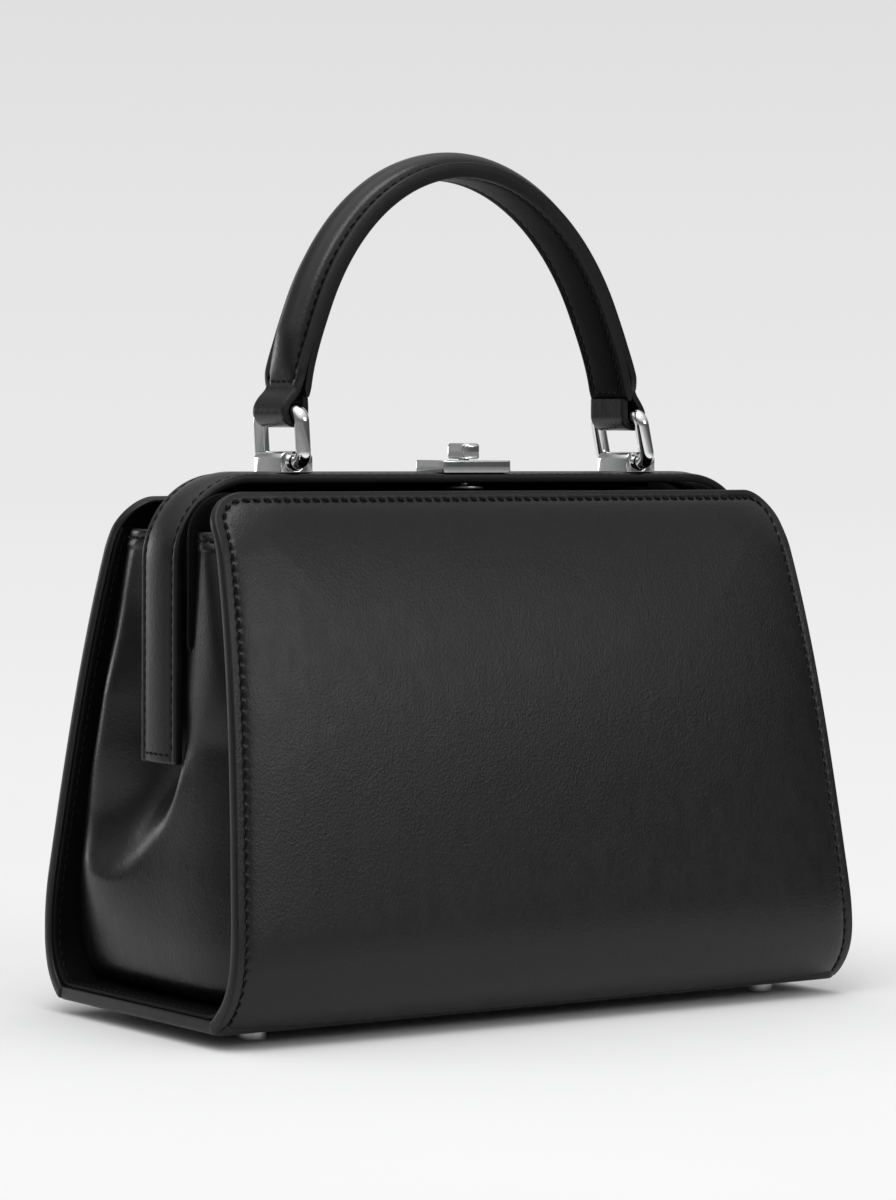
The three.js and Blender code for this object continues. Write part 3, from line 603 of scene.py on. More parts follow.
def slab(shape, outline, low, high, to_space, edge_low, edge_high, slots=(0, 0, 0), steps=4, swell=0.0):
    """Closed slab on an anticlockwise outline, with rounded edges at its two faces."""
    levels = []
    if edge_low:
        levels += [(edge_low * (1 - math.sin(a)), low + edge_low * (1 - math.cos(a)))
                   for a in np.linspace(0, math.pi / 2, steps + 1)]
    else:
        levels.append((0, low))
    if swell:
        levels += [(-swell, lerp(low, high, 0.38)), (-swell, lerp(low, high, 0.62))]
    if edge_high:
        levels += [(edge_high * (1 - math.cos(a)), high - edge_high * (1 - math.sin(a)))
                   for a in np.linspace(0, math.pi / 2, steps + 1)]
    else:
        levels.append((0, high))
    ids = np.vstack([shape.add(to_space(inset(outline, d), level))[None] for d, level in levels])
    shape.quads(ids, slots[1], wrap=True)
    shape.cap(ids[0][::-1], slots[0])
    shape.cap(ids[-1], slots[2])


def flat(outline, level):
    return np.stack([outline[:, 0], outline[:, 1], np.full(len(outline), level)], 1)


# ------------------------------------------------------------------- base
shape = Shape()
slab(shape, rounded_rectangle(2 * BASE["half_x"], 2 * BASE["front"] + BACK_SHIFT["low"], BASE["corner"], 0, BACK_SHIFT["low"] / 2),
     BASE["bottom"], BASE["top"], flat, 1.5, 0.7, (1, 2, 0), 5)
place(shape.build("base_leather", [LEATHER_BACK, LEATHER, EDGE], 50), "leather", "base")


# ---------------------------------------------------------------- gussets
STRIP = dict(thickness=1.1, clear=0.25, inset=1.1, turn=12.2)


def valley_shape(v, z):
    rise, fall = lerp(1.2, GUSSET["rise"], smooth(z, 50, 62)), lerp(1.0, GUSSET["fall"], smooth(z, 60, 90))
    f = lambda q: q ** rise * (1 - q) ** fall
    peak = rise / (rise + fall)
    return np.where((v <= 0) | (v >= 1), 0, f(np.clip(v, 0, 1)) / f(peak))


def gusset_fold(y, z):
    """Half width of the gusset: a pillow sewn in at its edges, with the roll and the valley of the pleat."""
    crest, edge = column(CREST, 1, z), rim_half(z) - column(CREST, 2, z)
    shift = back_shift(z) / 2
    across = np.clip((y - shift) / (inside_depth(np.maximum(z, 29.0)) + shift), -1, 1)
    up = smooth(z, *GUSSET["low"])
    u = np.abs(across)
    turn = lerp(*GUSSET["back_turn"], up)
    drop = np.where(across < 0, u ** lerp(*GUSSET["front_power"], smooth(z, 90, 122)),
                    (1 - turn) * u ** lerp(*GUSSET["back_power"], up) + turn * u ** 40)
    roll, crease, back = column(VALLEY, 1, z), column(VALLEY, 2, z), column(VALLEY, 3, z)
    v = (y - crease) / (back - crease)
    wide = crease - roll
    bend = lerp(0.25, 0.12, smooth(z, 80, 108)) * smooth(z, 76, 100) * np.where(y < crease, np.clip(y - roll, 0, None) ** 2 / wide, wide * (1 - smooth(v, 0, 1)))
    # the valley ends below in a rounded lip
    lip = np.minimum(0.026 * (y - 24.0) ** 2, 11.0) * (1 - smooth(z, 60, 80))
    swell = SWELL["height"] * smooth(z, *SWELL["low"]) * (1 - smooth(z, *SWELL["high"])) * np.exp(-((y - back + SWELL["back"]) / np.where(y < back - SWELL["back"], *SWELL["width"])) ** 2)
    return crest - (crest - edge) * drop - bend - column(VALLEY, 4, z - lip) * valley_shape(v, z) + swell


def gusset_half(y, z):
    """The same, softened across the folds as leather bends."""
    soft = lerp(3.4, 1.5, smooth(z, 58, 78))
    steps = np.linspace(-2.0, 2.0, 9)
    weights = np.exp(-0.5 * steps ** 2)
    return sum(w * gusset_fold(y + d * soft, z) for d, w in zip(steps, weights)) / weights.sum()


def strip_path():
    """The lining of the recess in section: down the back panel, across the base and up the front one."""
    t, halves = STRIP["clear"] + STRIP["thickness"], []
    floor_z = BASE["top"] + t
    for side in (1, -1):
        z = np.linspace(GUSSET["top"], BEND_Z, 90)
        down = np.stack([edge_depth(z, side) - t, z], 1)
        a = np.radians(np.linspace(2, 43, 24))
        r = PANEL["bend_radius"] - PANEL["thickness"] - t
        turn = np.stack([BEND_Y + r * np.cos(a) + (back_shift(BEND_Z - r * np.sin(a)) if side > 0 else 0), BEND_Z - r * np.sin(a)], 1)
        p0, p3 = turn[-1], np.array([turn[-1, 0] - 8.5, floor_z])
        d0 = unit(turn[-1] - turn[-2])
        q = np.linspace(0, 1, 12)[1:, None]
        ease = (1 - q) ** 3 * p0 + 3 * q * (1 - q) ** 2 * (p0 + d0 * 3.4) + 3 * q**2 * (1 - q) * (p3 + [3.4, 0]) + q**3 * p3
        halves.append(np.vstack([down, turn, ease]))
    back, front = halves
    middle = np.linspace(back[-1, 0], -front[-1, 0], 60)[1:-1]
    whole = np.vstack([back, np.stack([middle, np.full(58, floor_z)], 1), front[::-1] * [-1, 1]])
    return resample(whole, 1.4)[0]


STRIP_PATH = strip_path()
_t = unit(np.gradient(STRIP_PATH, axis=0))
STRIP_NORMAL = np.stack([-_t[:, 1], _t[:, 0]], 1)
STRIP_NORMAL *= -np.sign((STRIP_NORMAL * (STRIP_PATH - [0, 90])).sum(1))[:, None]


def strip_edge(z, side):
    """Half depth of the recess lining's face at height z."""
    half = STRIP_PATH[STRIP_PATH[:, 0] * side > 20]
    half = half[half[:, 1].argsort()]
    return np.interp(z, half[:, 1], half[:, 0] * side)


def strip_inner_edge(y, z):
    edge = rim_half(z) - column(CREST, 2, np.maximum(z, 9.4))
    return np.where(z < 24, np.minimum(edge, 103.0), edge) - 2.0


def gusset(side, name, node):
    shape = Shape()
    top = GUSSET["top"]
    z = np.r_[np.linspace(10.4, 28, 22), np.linspace(28, top - 7, 104)[1:], np.linspace(top - 7, top - 0.9, 14)[1:]]
    edge_front, edge_back = strip_edge(z, -1) - 0.02, strip_edge(z, 1) - 0.02
    front = column(VALLEY, 2, z)
    back = np.minimum(column(VALLEY, 3, z), edge_back - 3)
    f1 = np.linspace(0, 1, 30)[:, None]
    front = np.maximum(front, 1.5 - edge_front)
    y = np.vstack([lerp(-edge_front, front, f1 ** 1.4), lerp(front, back, np.linspace(0, 1, 70)[1:, None] ** 1.6),
                   lerp(back, edge_back, 1 - (1 - np.linspace(0, 1, 26)[1:, None]) ** 1.4)]).T
    zz = np.repeat(z[:, None], y.shape[1], 1)
    hem = 0.5 * smooth(zz, top - 6.4, top - 5.3) - 0.4 * np.exp(-((zz - (top - 2.9)) / 0.7) ** 2)
    h = gusset_half(y, zz) + hem * 0.8
    y = y - np.sign(y) * curled(h, zz) * smooth(np.abs(y), 14, 30)
    outer = shape.add(np.stack([side * h, y, zz], -1))
    inner = shape.add(np.stack([side * (h - GUSSET["wall"]), y, zz], -1))
    shape.quads(outer, 0)
    shape.quads(inner, 1)
    # turned top edge
    wall, r = GUSSET["wall"], 0.9
    lips = []
    for a in np.linspace(0, math.pi, 9)[1:-1]:
        lips.append(np.stack([side * (h[-1] - wall / 2 + wall / 2 * math.cos(a)), y[-1],
                              np.full(y.shape[1], z[-1] + r * math.sin(a))], -1))
    shape.quads(np.vstack([outer[-1][None], shape.add(np.array(lips)), inner[-1][None]]), 0)
    shape.quads(np.vstack([outer[0][None], inner[0][None]]), 1)
    for k in (0, -1):
        rim = np.r_[[i for i in range(len(z))]]
        shape.quads(np.vstack([outer[rim, k][None], inner[rim, k][None]]), 1)
    # lining of the recess
    p, n = STRIP_PATH, STRIP_NORMAL
    lo, hi = strip_inner_edge(p[:, 0], p[:, 1]), rim_half(p[:, 1]) - STRIP["inset"]
    t, e = STRIP["thickness"], 0.45
    across = [(0.0, -t), (0.0, 0.0)] + [(f, 0.0) for f in (0.25, 0.5, 0.7, 0.82, 0.9)]
    loops = []
    for f, d in across:
        loops.append(np.stack([side * lerp(lo, hi - e, f), p[:, 0] + n[:, 0] * d, p[:, 1] + n[:, 1] * d], -1))
    for a in np.linspace(0, math.pi / 2, 4):
        loops.append(np.stack([side * (hi - e + e * math.sin(a)), p[:, 0] - n[:, 0] * e * (1 - math.cos(a)),
                               p[:, 1] - n[:, 1] * e * (1 - math.cos(a))], -1))
    loops.append(np.stack([side * hi, p[:, 0] - n[:, 0] * t, p[:, 1] - n[:, 1] * t], -1))
    loops = np.array(loops)
    loops[..., 1] -= np.sign(loops[..., 1]) * curled(loops[..., 0], loops[..., 2])
    ids = shape.add(loops).T
    shape.quads(ids, 1, wrap=True)
    shape.cap(ids[0], 1)
    shape.cap(ids[-1][::-1], 1)
    ob = shape.build(name, [LEATHER_SOFT, LEATHER_BACK], 55)
    return place(ob, "leather", node)


gusset(-1, "gusset_left_leather", "gusset_left")
gusset(1, "gusset_right_leather", "gusset_right")

for side, name in ((-1, "gusset_left_stitching"), (1, "gusset_right_stitching")):
    shape = Shape()
    x = side * (rim_half(STRIP_PATH[:, 1]) - 3.3)
    path = np.stack([x, STRIP_PATH[:, 0] - np.sign(STRIP_PATH[:, 0]) * curled(x, STRIP_PATH[:, 1]), STRIP_PATH[:, 1]], 1)
    normal = np.stack([0 * x, STRIP_NORMAL[:, 0], STRIP_NORMAL[:, 1]], 1)
    stitches(shape, path, normal, slant=0.1, sink=0.05, skip=2.0)
    # hems along the top of the pleats
    z = np.full(200, GUSSET["top"] - 2.9)
    y = np.linspace(0.5 - float(strip_edge(z[0], -1)), float(strip_edge(z[0], 1)) - 0.5, 200)
    hx = gusset_half(y, z) + 0.25
    path = np.stack([side * hx, y, z], 1)
    t = unit(np.gradient(path, axis=0))
    normal = unit(np.stack([side * np.abs(t[:, 1]), -side * np.sign(t[:, 1]) * t[:, 0], 0 * y], 1))
    stitches(shape, path, normal, pitch=3.2, length=2.4, slant=0.1, sink=0.02)
    place(shape.build(name, [THREAD], 70), "thread")


# ------------------------------------------------------------ inner walls
def wall_outline(table, top, r, left_limit):
    z = np.linspace(table[0][0], top - r, 40)
    right = np.stack([column(table, 1, z), z], 1)
    a = np.linspace(0, math.pi / 2, 14)[1:]
    right = np.vstack([right, np.stack([right[-1, 0] - r + r * np.cos(a), top - r + r * np.sin(a)], 1)])
    left = np.stack([-np.minimum(right[::-1, 0], left_limit), right[::-1, 1]], 1)
    if left_limit < right[:, 0].max():
        left[:, 1] = np.where(left[:, 1] > top - 0.01, top - 0.01, left[:, 1])
    return np.vstack([right, left])


for name, node, table, edge, sign in (("front_wall_leather", "inner_wall_front", WALL_FRONT, WALL_TOP["front"], -1),
                                      ("back_wall_leather", "inner_wall_back", WALL_BACK, WALL_TOP["back"], 1)):
    shape = Shape()
    a, b = WALL["inner"], WALL["inner"] + WALL["thickness"]
    slab(shape, wall_outline(table, *edge), a, b,
         lambda o, level, sign=sign: np.stack([o[:, 0], np.full(len(o), sign * level), o[:, 1]], 1), 0.5, 0.5, (0, 1, 0), 3)
    if sign > 0:
        t = WALL["thickness"]
        section = np.array([(LIP["inner"], LIP["top"] - t), (b - 0.02, LIP["top"] - t), (b - 0.02, LIP["top"]), (LIP["inner"], LIP["top"])])
        slab(shape, section, -LIP["half"], LIP["half"],
             lambda o, level: np.stack([np.full(len(o), level), o[:, 0], o[:, 1]], 1), 0.4, 0.4, (0, 1, 0), 2)
        section = np.array([(a + 0.02, edge[0] - 8), (b - 0.02, edge[0] - 8), (b - 0.02, LIP["top"] - 0.1), (a + 0.02, LIP["top"] - 0.1)])
        slab(shape, section, -LIP["half"], LIP["half"],
             lambda o, level: np.stack([np.full(len(o), level), o[:, 0], o[:, 1]], 1), 0.4, 0.4, (0, 1, 0), 2)
    place(shape.build(name, [LEATHER_BACK, LEATHER_MATTE], 50), "lining_leather", node)


# ------------------------------------------------------------- frame band
def band_path():
    half, top, r, end = BAND["half"], BAND["top"], BAND["radius"], BAND["end"]
    up = np.linspace(end, top - r, 50)
    a = np.linspace(math.pi, math.pi / 2, 30)[1:]
    left = np.vstack([np.stack([np.full(50, -half), up], 1),
                      np.stack([-half + r + r * np.cos(a), top - r + r * np.sin(a)], 1)])
    middle = np.stack([np.linspace(-half + r, half - r, 90)[1:-1], np.full(88, top)], 1)
    return np.vstack([left, middle, left[::-1] * [-1, 1]])


def outward(path):
    t = unit(np.gradient(path, axis=0))
    return np.stack([-t[:, 1], t[:, 0]], 1)


def band_section(grow):
    """Across the band: offset along y and height above the outer face, with the material of each side."""
    w, t, r = BAND["half_y"], BAND["thickness"], BAND["edge"]
    points, slots = [], []
    for a in np.linspace(0, math.pi / 2, 5):
        points.append((-w + r - r * math.cos(a), -r + r * math.sin(a)))
        slots.append(1)
    slots[-1] = 0
    for y in np.r_[-9.2, -8.8, -8.4, -8.0, -7.6, -7.2, -6.6, -5.2, -3.2, 0, 3.2, 5.2, 6.6, 7.2, 7.6, 8.0, 8.4, 8.8, 9.2]:
        crown = 0.75 * smooth(8.3 - abs(y), 0, 6.0)
        points.append((y, crown - 0.34 * math.exp(-((abs(y) - 8.0) / 0.45) ** 2)))
        slots.append(0)
    for a in np.linspace(math.pi / 2, 0, 5):
        points.append((w - r + r * math.cos(a), -r + r * math.sin(a)))
        slots.append(1)
    points += [(w + 0.08, -t * 0.4), (w + 0.08, -t * 0.62)]
    slots += [1, 1]
    for a in np.linspace(0, math.pi / 2, 4):
        points.append((w - 0.5 + 0.5 * math.cos(a), -t + 0.5 - 0.5 * math.sin(a)))
        slots.append(1)
    slots[-1] = 2
    for a in np.linspace(math.pi / 2, 0, 4):
        points.append((-w + 0.5 - 0.5 * math.cos(a), -t + 0.5 - 0.5 * math.sin(a)))
        slots.append(1)
    points += [(-w - 0.08, -t * 0.62), (-w - 0.08, -t * 0.4)]
    slots += [1, 1]
    p = np.array(points)
    mid = np.array([0, -t / 2])
    size = np.array([w, t / 2])
    return mid + (p - mid) * (1 - grow / size), slots


path, normal = band_path(), outward(band_path())
shape = Shape()
BODY, SLOTS = band_section(0.0)


def band_ring(p, n, section):
    return np.stack([p[0] + n[0] * section[:, 1], section[:, 0], p[1] + n[1] * section[:, 1]], -1)


loops = []
for a in np.linspace(0, math.pi / 2, 5)[:-1]:
    section, _ = band_section(0.7 * (1 - math.sin(a)))
    loops.append(band_ring(path[0] + [0, 0.7 * (1 - math.cos(a))], normal[0], section))
first = path.copy()
first[0, 1] += 0.7
first[-1, 1] += 0.7
for p, n in zip(first, normal):
    loops.append(band_ring(p, n, BODY))
for a in np.linspace(math.pi / 2, 0, 5)[1:]:
    section, _ = band_section(0.7 * (1 - math.sin(a)))
    loops.append(band_ring(path[-1] + [0, 0.7 * (1 - math.cos(a))], normal[-1], section))
ids = shape.add(np.array(loops))
shape.quads(ids, np.array(SLOTS)[None, :], wrap=True)
shape.cap(ids[0], 1)
shape.cap(ids[-1][::-1], 1)
place(shape.build("frame_band_leather", [LEATHER, EDGE, LEATHER_BACK], 50), "leather", "frame_band")

shape = Shape()
inner_path, _ = resample(path[(path[:, 1] > BAND["end"] + 2.9)], 1.0)
inner_normal = outward(inner_path)
for y in (-8.0, 8.0):
    p = np.stack([inner_path[:, 0] - 0.22 * inner_normal[:, 0], np.full(len(inner_path), y),
                  inner_path[:, 1] - 0.22 * inner_normal[:, 1]], 1)
    stitches(shape, p, np.stack([inner_normal[:, 0], 0 * p[:, 0], inner_normal[:, 1]], 1), slant=0.1, sink=0.02)
for sx in (-1, 1):
    y = np.linspace(-7.4, 7.4, 40)
    p = np.stack([sx * (BAND["half"] - 0.02 + 0.75 * smooth(8.3 - np.abs(y), 0, 6.0)), y, np.full(40, BAND["end"] + 2.9)], 1)
    stitches(shape, p, np.tile([sx, 0.0, 0.0], (40, 1)), pitch=3.2, length=2.4, slant=0.1, sink=-0.05)
place(shape.build("frame_band_stitching", [THREAD], 70), "thread")


# ------------------------------------------------------------------ clasp
shape = Shape()
slab(shape, densify(rounded_rectangle(PLATE["width"], PLATE["depth"], PLATE["corner"], 0, CLASP_Y), 3.0),
     PLATE["bottom"], PLATE["top"], flat, 0.15, PLATE["edge"], (0, 0, 0), 4)
place(shape.build("clasp_plate_chrome", [CHROME], 35), "chrome", "clasp_plate")

shape = Shape()
slab(shape, densify(rounded_rectangle(KNOB["width"], KNOB["length"], KNOB["corner"], 0, CLASP_Y, 12), 1.5),
     KNOB["bottom"], KNOB["top"], flat, 0.9, KNOB["edge"], (0, 0, 0), 7)
a = np.linspace(0, 2 * math.pi, 49)[:-1]
circle = np.stack([np.cos(a), np.sin(a)], 1)
slab(shape, circle * SPINDLE["diameter"] / 2 + [0, CLASP_Y], SPINDLE["washer_top"] - 0.3, KNOB["bottom"] + 1.0, flat, 0.1, 0.1, (0, 0, 0), 2)
slab(shape, circle * SPINDLE["washer"] / 2 + [0, CLASP_Y], SPINDLE["washer_bottom"], SPINDLE["washer_top"], flat, 0.3, 0.25, (1, 1, 1), 4)
place(shape.build("clasp_knob_chrome", [CHROME, SATIN], 35), "chrome", "clasp_knob", body="knob")


# -------------------------------------------------------- rings and knuckles
def ring_loops(lean):
    wire, r = RING["wire"] / 2, RING["corner"]
    my, mz = RING["half_span"] - r, RING["height"] / 2 - r
    centre = []
    for q, (sy, sz) in enumerate(((1, 1), (-1, 1), (-1, -1), (1, -1))):
        for a in np.linspace(0, math.pi / 2, 13) + q * math.pi / 2:
            centre.append((sy * my + r * math.cos(a), sz * mz + r * math.sin(a), math.cos(a), math.sin(a)))
    out = []
    for k, (y, z, oy, oz) in enumerate(centre):
        b = np.linspace(0, 2 * math.pi, 33)[:-1]
        out.append(np.stack([wire * np.sin(b), y + wire * np.cos(b) * oy, z + wire * np.cos(b) * oz + RING["height"] / 2], -1))
    out = np.array(out)
    out = np.concatenate([out, out[:1]])
    tilt = -math.asin(lean / RING["height"])
    x, z = out[..., 0].copy(), out[..., 2].copy()
    out[..., 0], out[..., 2] = x * math.cos(tilt) + z * math.sin(tilt), -x * math.sin(tilt) + z * math.cos(tilt)
    return out


def knuckle_outline():
    w, z = KNUCKLE["width"] / 2, RING["bar_z"]
    lip = z + math.sqrt(KNUCKLE["bore"] ** 2 - KNUCKLE["mouth"] ** 2)
    a = math.atan2(lip - z, KNUCKLE["mouth"])
    points = [(-w, KNUCKLE["bottom"]), (w, KNUCKLE["bottom"]), (w, KNUCKLE["side"])]
    start, ctrl, end = np.array((w, KNUCKLE["side"])), np.array((w - 0.4, KNUCKLE["top"])), np.array((KNUCKLE["mouth"] + 1.0, KNUCKLE["top"]))
    for t in np.linspace(0, 1, 14)[1:]:
        points.append(tuple((1 - t) ** 2 * start + 2 * t * (1 - t) * ctrl + t * t * end))
    right = np.array(points[1:])
    bore = np.array([(KNUCKLE["bore"] * math.cos(q), z + KNUCKLE["bore"] * math.sin(q))
                     for q in np.linspace(a, -math.pi - a, 44)])
    return np.vstack([right, bore, right[::-1] * [-1, 1]])


for name, (ring_x, lean) in RING_PLACE.items():
    shape = Shape()
    loops = ring_loops(lean) + [ring_x, 0, RING["bar_z"]]
    shape.quads(shape.add(loops), 0, wrap=True)
    place(shape.build(f"ring_{name}_chrome", [CHROME], 80), "chrome", f"ring_{name}")
    shape = Shape()
    slab(shape, knuckle_outline(), -KNUCKLE["depth"] / 2, KNUCKLE["depth"] / 2,
         lambda o, level, ring_x=ring_x: np.stack([o[:, 0] + ring_x, np.full(len(o), level), o[:, 1]], 1),
         KNUCKLE["edge"], KNUCKLE["edge"], (0, 0, 0), 3)
    place(shape.build(f"ring_base_{name}_chrome", [CHROME], 32), "chrome", f"ring_base_{name}")


# ----------------------------------------------------------------- handle
def lean_x(z):
    return HANDLE["centre_x"] + HANDLE["lean"] * (z - 195.6)


def arch_point(a, out):
    """Point of the arch moved out along its normal; the feet of the arch spread a little."""
    n = unit(np.stack([HANDLE["rise"] * np.cos(a), HANDLE["half_span"] * np.sin(a)], -1))
    z = HANDLE["spring_z"] + HANDLE["rise"] * np.sin(a)
    d = np.asarray(out) + HANDLE["flare"] * (1 - smooth(z, HANDLE["loop_top"] - 2, HANDLE["flare_top"]))
    return np.stack([HANDLE["half_span"] * np.cos(a), z], -1) + n * d[..., None]


def arch_angle(z):
    return np.arcsin((np.asarray(z, float) - HANDLE["spring_z"]) / HANDLE["rise"])


LAYER = HANDLE["lining"] + 0.02


def strap_end(bar_x, bar_z):
    """Inner face of the strap from the crown of the arch down round the ring's bar to the lining's end."""
    a = np.linspace(math.pi / 2, float(arch_angle(HANDLE["loop_top"] + 0.8)), 110)
    z = arch_point(a, 0 * a)[:, 1]
    arch = arch_point(a, LAYER + 0.5 * (1 - smooth(z, 206, 219)))
    bar, r = np.array([bar_x, bar_z]), RING["wire"] / 2 + GAP
    q = np.radians(np.linspace(24, -186, 48))
    loop = bar + r * np.stack([np.cos(q), np.sin(q)], 1)
    # soft neck between the arch and the loop
    p0, p3 = arch[-1], loop[0]
    d0, d3 = unit(arch[-1] - arch[-2]), np.array([math.sin(q[0]), -math.cos(q[0])])
    reach = np.linalg.norm(p3 - p0) * 0.40
    t = np.linspace(0, 1, 16)[1:-1, None]
    neck = (1 - t) ** 3 * p0 + 3 * t * (1 - t) ** 2 * (p0 + d0 * reach) + 3 * t**2 * (1 - t) * (p3 - d3 * reach) + t**3 * p3
    tail = np.array([(bar_x - r, bar_z + 1.8), (bar_x - r + 0.1, HANDLE["lining_end"] + 0.7)])
    return np.vstack([arch, neck, loop, tail]), len(arch)


def ring_top(name):
    return RING["bar_z"] + math.sqrt(RING["height"] ** 2 - RING_PLACE[name][1] ** 2)


right, n_arch = strap_end(HANDLE["half_span"] + HANDLE["loop_right"], ring_top("right"))
left, _ = strap_end(HANDLE["half_span"] + HANDLE["loop_left"], ring_top("left"))
strap = np.vstack([left[::-1] * [-1, 1], right[1:]])
middle = len(left) - 1
on_arch = np.abs(np.arange(len(strap)) - middle) < n_arch
STRAP_N = outward(strap)


def strap_section(half, crown, cut, t):
    """Across the strap: position along y and height, with the material of each side."""
    r = 0.65
    points, slots = [(-half, 0.0)], [1]
    for a in np.linspace(0, math.pi / 2, 5):
        points.append((-half + r - r * math.cos(a), t - r + r * math.sin(a)))
        slots.append(1)
    slots[-1] = 0
    seam = half - 2.9
    for f in np.r_[-1.18, -1.08, -1.0, -0.93, -0.86, -0.76, -0.62, -0.45, -0.23, 0, 0.23, 0.45, 0.62, 0.76, 0.86, 0.93, 1.0, 1.08, 1.18]:
        groove = 0.36 * math.exp(-((abs(f) - 1.0) * seam / 0.5) ** 2)
        dome = crown * max(1 - abs(f) ** 2.6, 0) ** 0.72 if abs(f) < 1 else 0
        points.append((f * seam, t - groove * cut + dome))
        slots.append(0)
    for a in np.linspace(math.pi / 2, 0, 5):
        points.append((half - r + r * math.cos(a), t - r + r * math.sin(a)))
        slots.append(1)
    points.append((half, 0.0))
    slots += [2]
    return np.array(points), slots


shape, loops = Shape(), []
for k, (p, n) in enumerate(zip(strap, STRAP_N)):
    up = float(smooth(p[1], HANDLE["crown_start"], HANDLE["crown_full"])) if on_arch[k] else 0.0
    width = float(smooth(p[1], HANDLE["loop_top"] - 1, HANDLE["loop_top"] + 6)) if on_arch[k] else 0.0
    section, slots = strap_section(lerp(HANDLE["loop_width"], HANDLE["width"], width) / 2, HANDLE["crown"] * up ** 0.8,
                                   float(smooth(p[1], 204.6, 206)) if on_arch[k] else 0.0,
                                   lerp(HANDLE["loop"], HANDLE["strap"], width))
    loops.append(np.stack([p[0] + n[0] * section[:, 1] + lean_x(p[1]), section[:, 0], p[1] + n[1] * section[:, 1]], -1))
ids = shape.add(np.array(loops))
shape.quads(ids, np.array(slots)[None, :], wrap=True)
shape.cap(ids[0], 1)
shape.cap(ids[-1][::-1], 1)
handle = place(shape.build("handle_strap_leather", [LEATHER_STRAP, EDGE, LEATHER_BACK], 50), "leather", "handle_strap")


def lining_section(half, cut):
    t, r = HANDLE["lining"], 0.6
    points, slots = [(half, t)], [1]
    for a in np.linspace(0, math.pi / 2, 5):
        points.append((half - r + r * math.cos(a), r - r * math.sin(a)))
        slots.append(1)
    slots[-1] = 0
    seam = half - 2.9
    for f in np.r_[1.18, 1.08, 1.0, 0.92, 0.8, 0.4, 0, -0.4, -0.8, -0.92, -1.0, -1.08, -1.18]:
        points.append((f * seam, 0.3 * cut * math.exp(-((abs(f) - 1.0) * seam / 0.5) ** 2) - 0.5 * cut * max(1 - f * f, 0)))
        slots.append(0)
    for a in np.linspace(math.pi / 2, 0, 5):
        points.append((-half + r - r * math.cos(a), r - r * math.sin(a)))
        slots.append(1)
    points.append((-half, t))
    slots.append(2)
    return np.array(points), slots


shape, loops = Shape(), []
end = float(arch_angle(HANDLE["lining_end"]))
turn = [0.0, 0.12, 0.3, 0.6, 1.0]
angles = np.linspace(math.pi - end, end, 150)
for k, a in enumerate(angles):
    z = float(arch_point(np.array([a]), np.array([0.0]))[0, 1])
    section, slots = lining_section(HANDLE["width"] / 2, float(smooth(z, 203.2, 205)))
    base = arch_point(np.array([a]), np.array([0.0]))[0]
    n = unit(np.array([HANDLE["rise"] * math.cos(a), HANDLE["half_span"] * math.sin(a)]))
    gap = min(k, len(angles) - 1 - k)
    shrink = (0.55, 0.2, 0.0)[min(gap, 2)]
    section[:, 1] = HANDLE["lining"] / 2 + (section[:, 1] - HANDLE["lining"] / 2) * (1 - shrink)
    p = base + n * section[:, 1:2]
    loops.append(np.stack([p[:, 0] + lean_x(p[:, 1]), section[:, 0], p[:, 1]], -1))
ids = shape.add(np.array(loops))
shape.quads(ids, np.array(slots)[None, :], wrap=True)
shape.cap(ids[0], 1)
shape.cap(ids[-1][::-1], 1)
place(shape.build("handle_lining_leather", [LEATHER_MATTE, EDGE, LEATHER_BACK], 50), "leather", "handle_lining")

# rows along both faces of the handle and across its ends
shape = Shape()
seam = HANDLE["width"] / 2 - 2.9
keep = on_arch & (strap[:, 1] > 204.9)
run, run_n = strap[keep], STRAP_N[keep]
top = run + run_n * (HANDLE["strap"] - 0.12)
for y in (-seam, seam):
    p = np.stack([top[:, 0] + lean_x(top[:, 1]), np.full(len(top), y), top[:, 1]], 1)
    stitches(shape, p, np.stack([run_n[:, 0], 0 * p[:, 0], run_n[:, 1]], 1), slant=0.1, sink=0.05)
for k in (0, -1):
    y = np.linspace(-seam + 1.2, seam - 1.2, 30)
    p = np.stack([np.full(30, top[k, 0] + lean_x(top[k, 1])), y, np.full(30, top[k, 1])], 1)
    stitches(shape, p, np.tile([run_n[k, 0], 0, run_n[k, 1]], (30, 1)), pitch=3.2, length=2.4, sink=-0.02)
a = np.linspace(math.pi - float(arch_angle(203.4)), float(arch_angle(203.4)), 200)
under = arch_point(a, np.full(200, 0.12))
under_n = -unit(np.stack([HANDLE["rise"] * np.cos(a), HANDLE["half_span"] * np.sin(a)], 1))
for y in (-seam, seam):
    p = np.stack([under[:, 0] + lean_x(under[:, 1]), np.full(200, y), under[:, 1]], 1)
    stitches(shape, p, np.stack([under_n[:, 0], 0 * a, under_n[:, 1]], 1), slant=0.1, sink=0.05)
for k in (0, -1):
    y = np.linspace(-seam + 1.2, seam - 1.2, 30)
    p = np.stack([np.full(30, under[k, 0] + lean_x(under[k, 1])), y, np.full(30, under[k, 1])], 1)
    stitches(shape, p, np.tile([under_n[k, 0], 0, under_n[k, 1]], (30, 1)), pitch=3.2, length=2.4, sink=-0.1)
place(shape.build("handle_stitching", [THREAD], 70), "thread")


# ------------------------------------------------------------------- feet
for name, sx, sy in (("front_left", -1, -1), ("front_right", 1, -1), ("back_left", -1, 1), ("back_right", 1, 1)):
    shape = Shape()
    slab(shape, circle * FOOT["diameter"] / 2 + [sx * FOOT["x"], sy * FOOT["y"] + (BACK_SHIFT["low"] if sy > 0 else 0)], 0.0, FOOT["height"], flat, 1.1, 0.25, (0, 0, 0), 6)
    place(shape.build(f"foot_{name}_steel", [SATIN], 40), "satin_steel", f"foot_{name}")


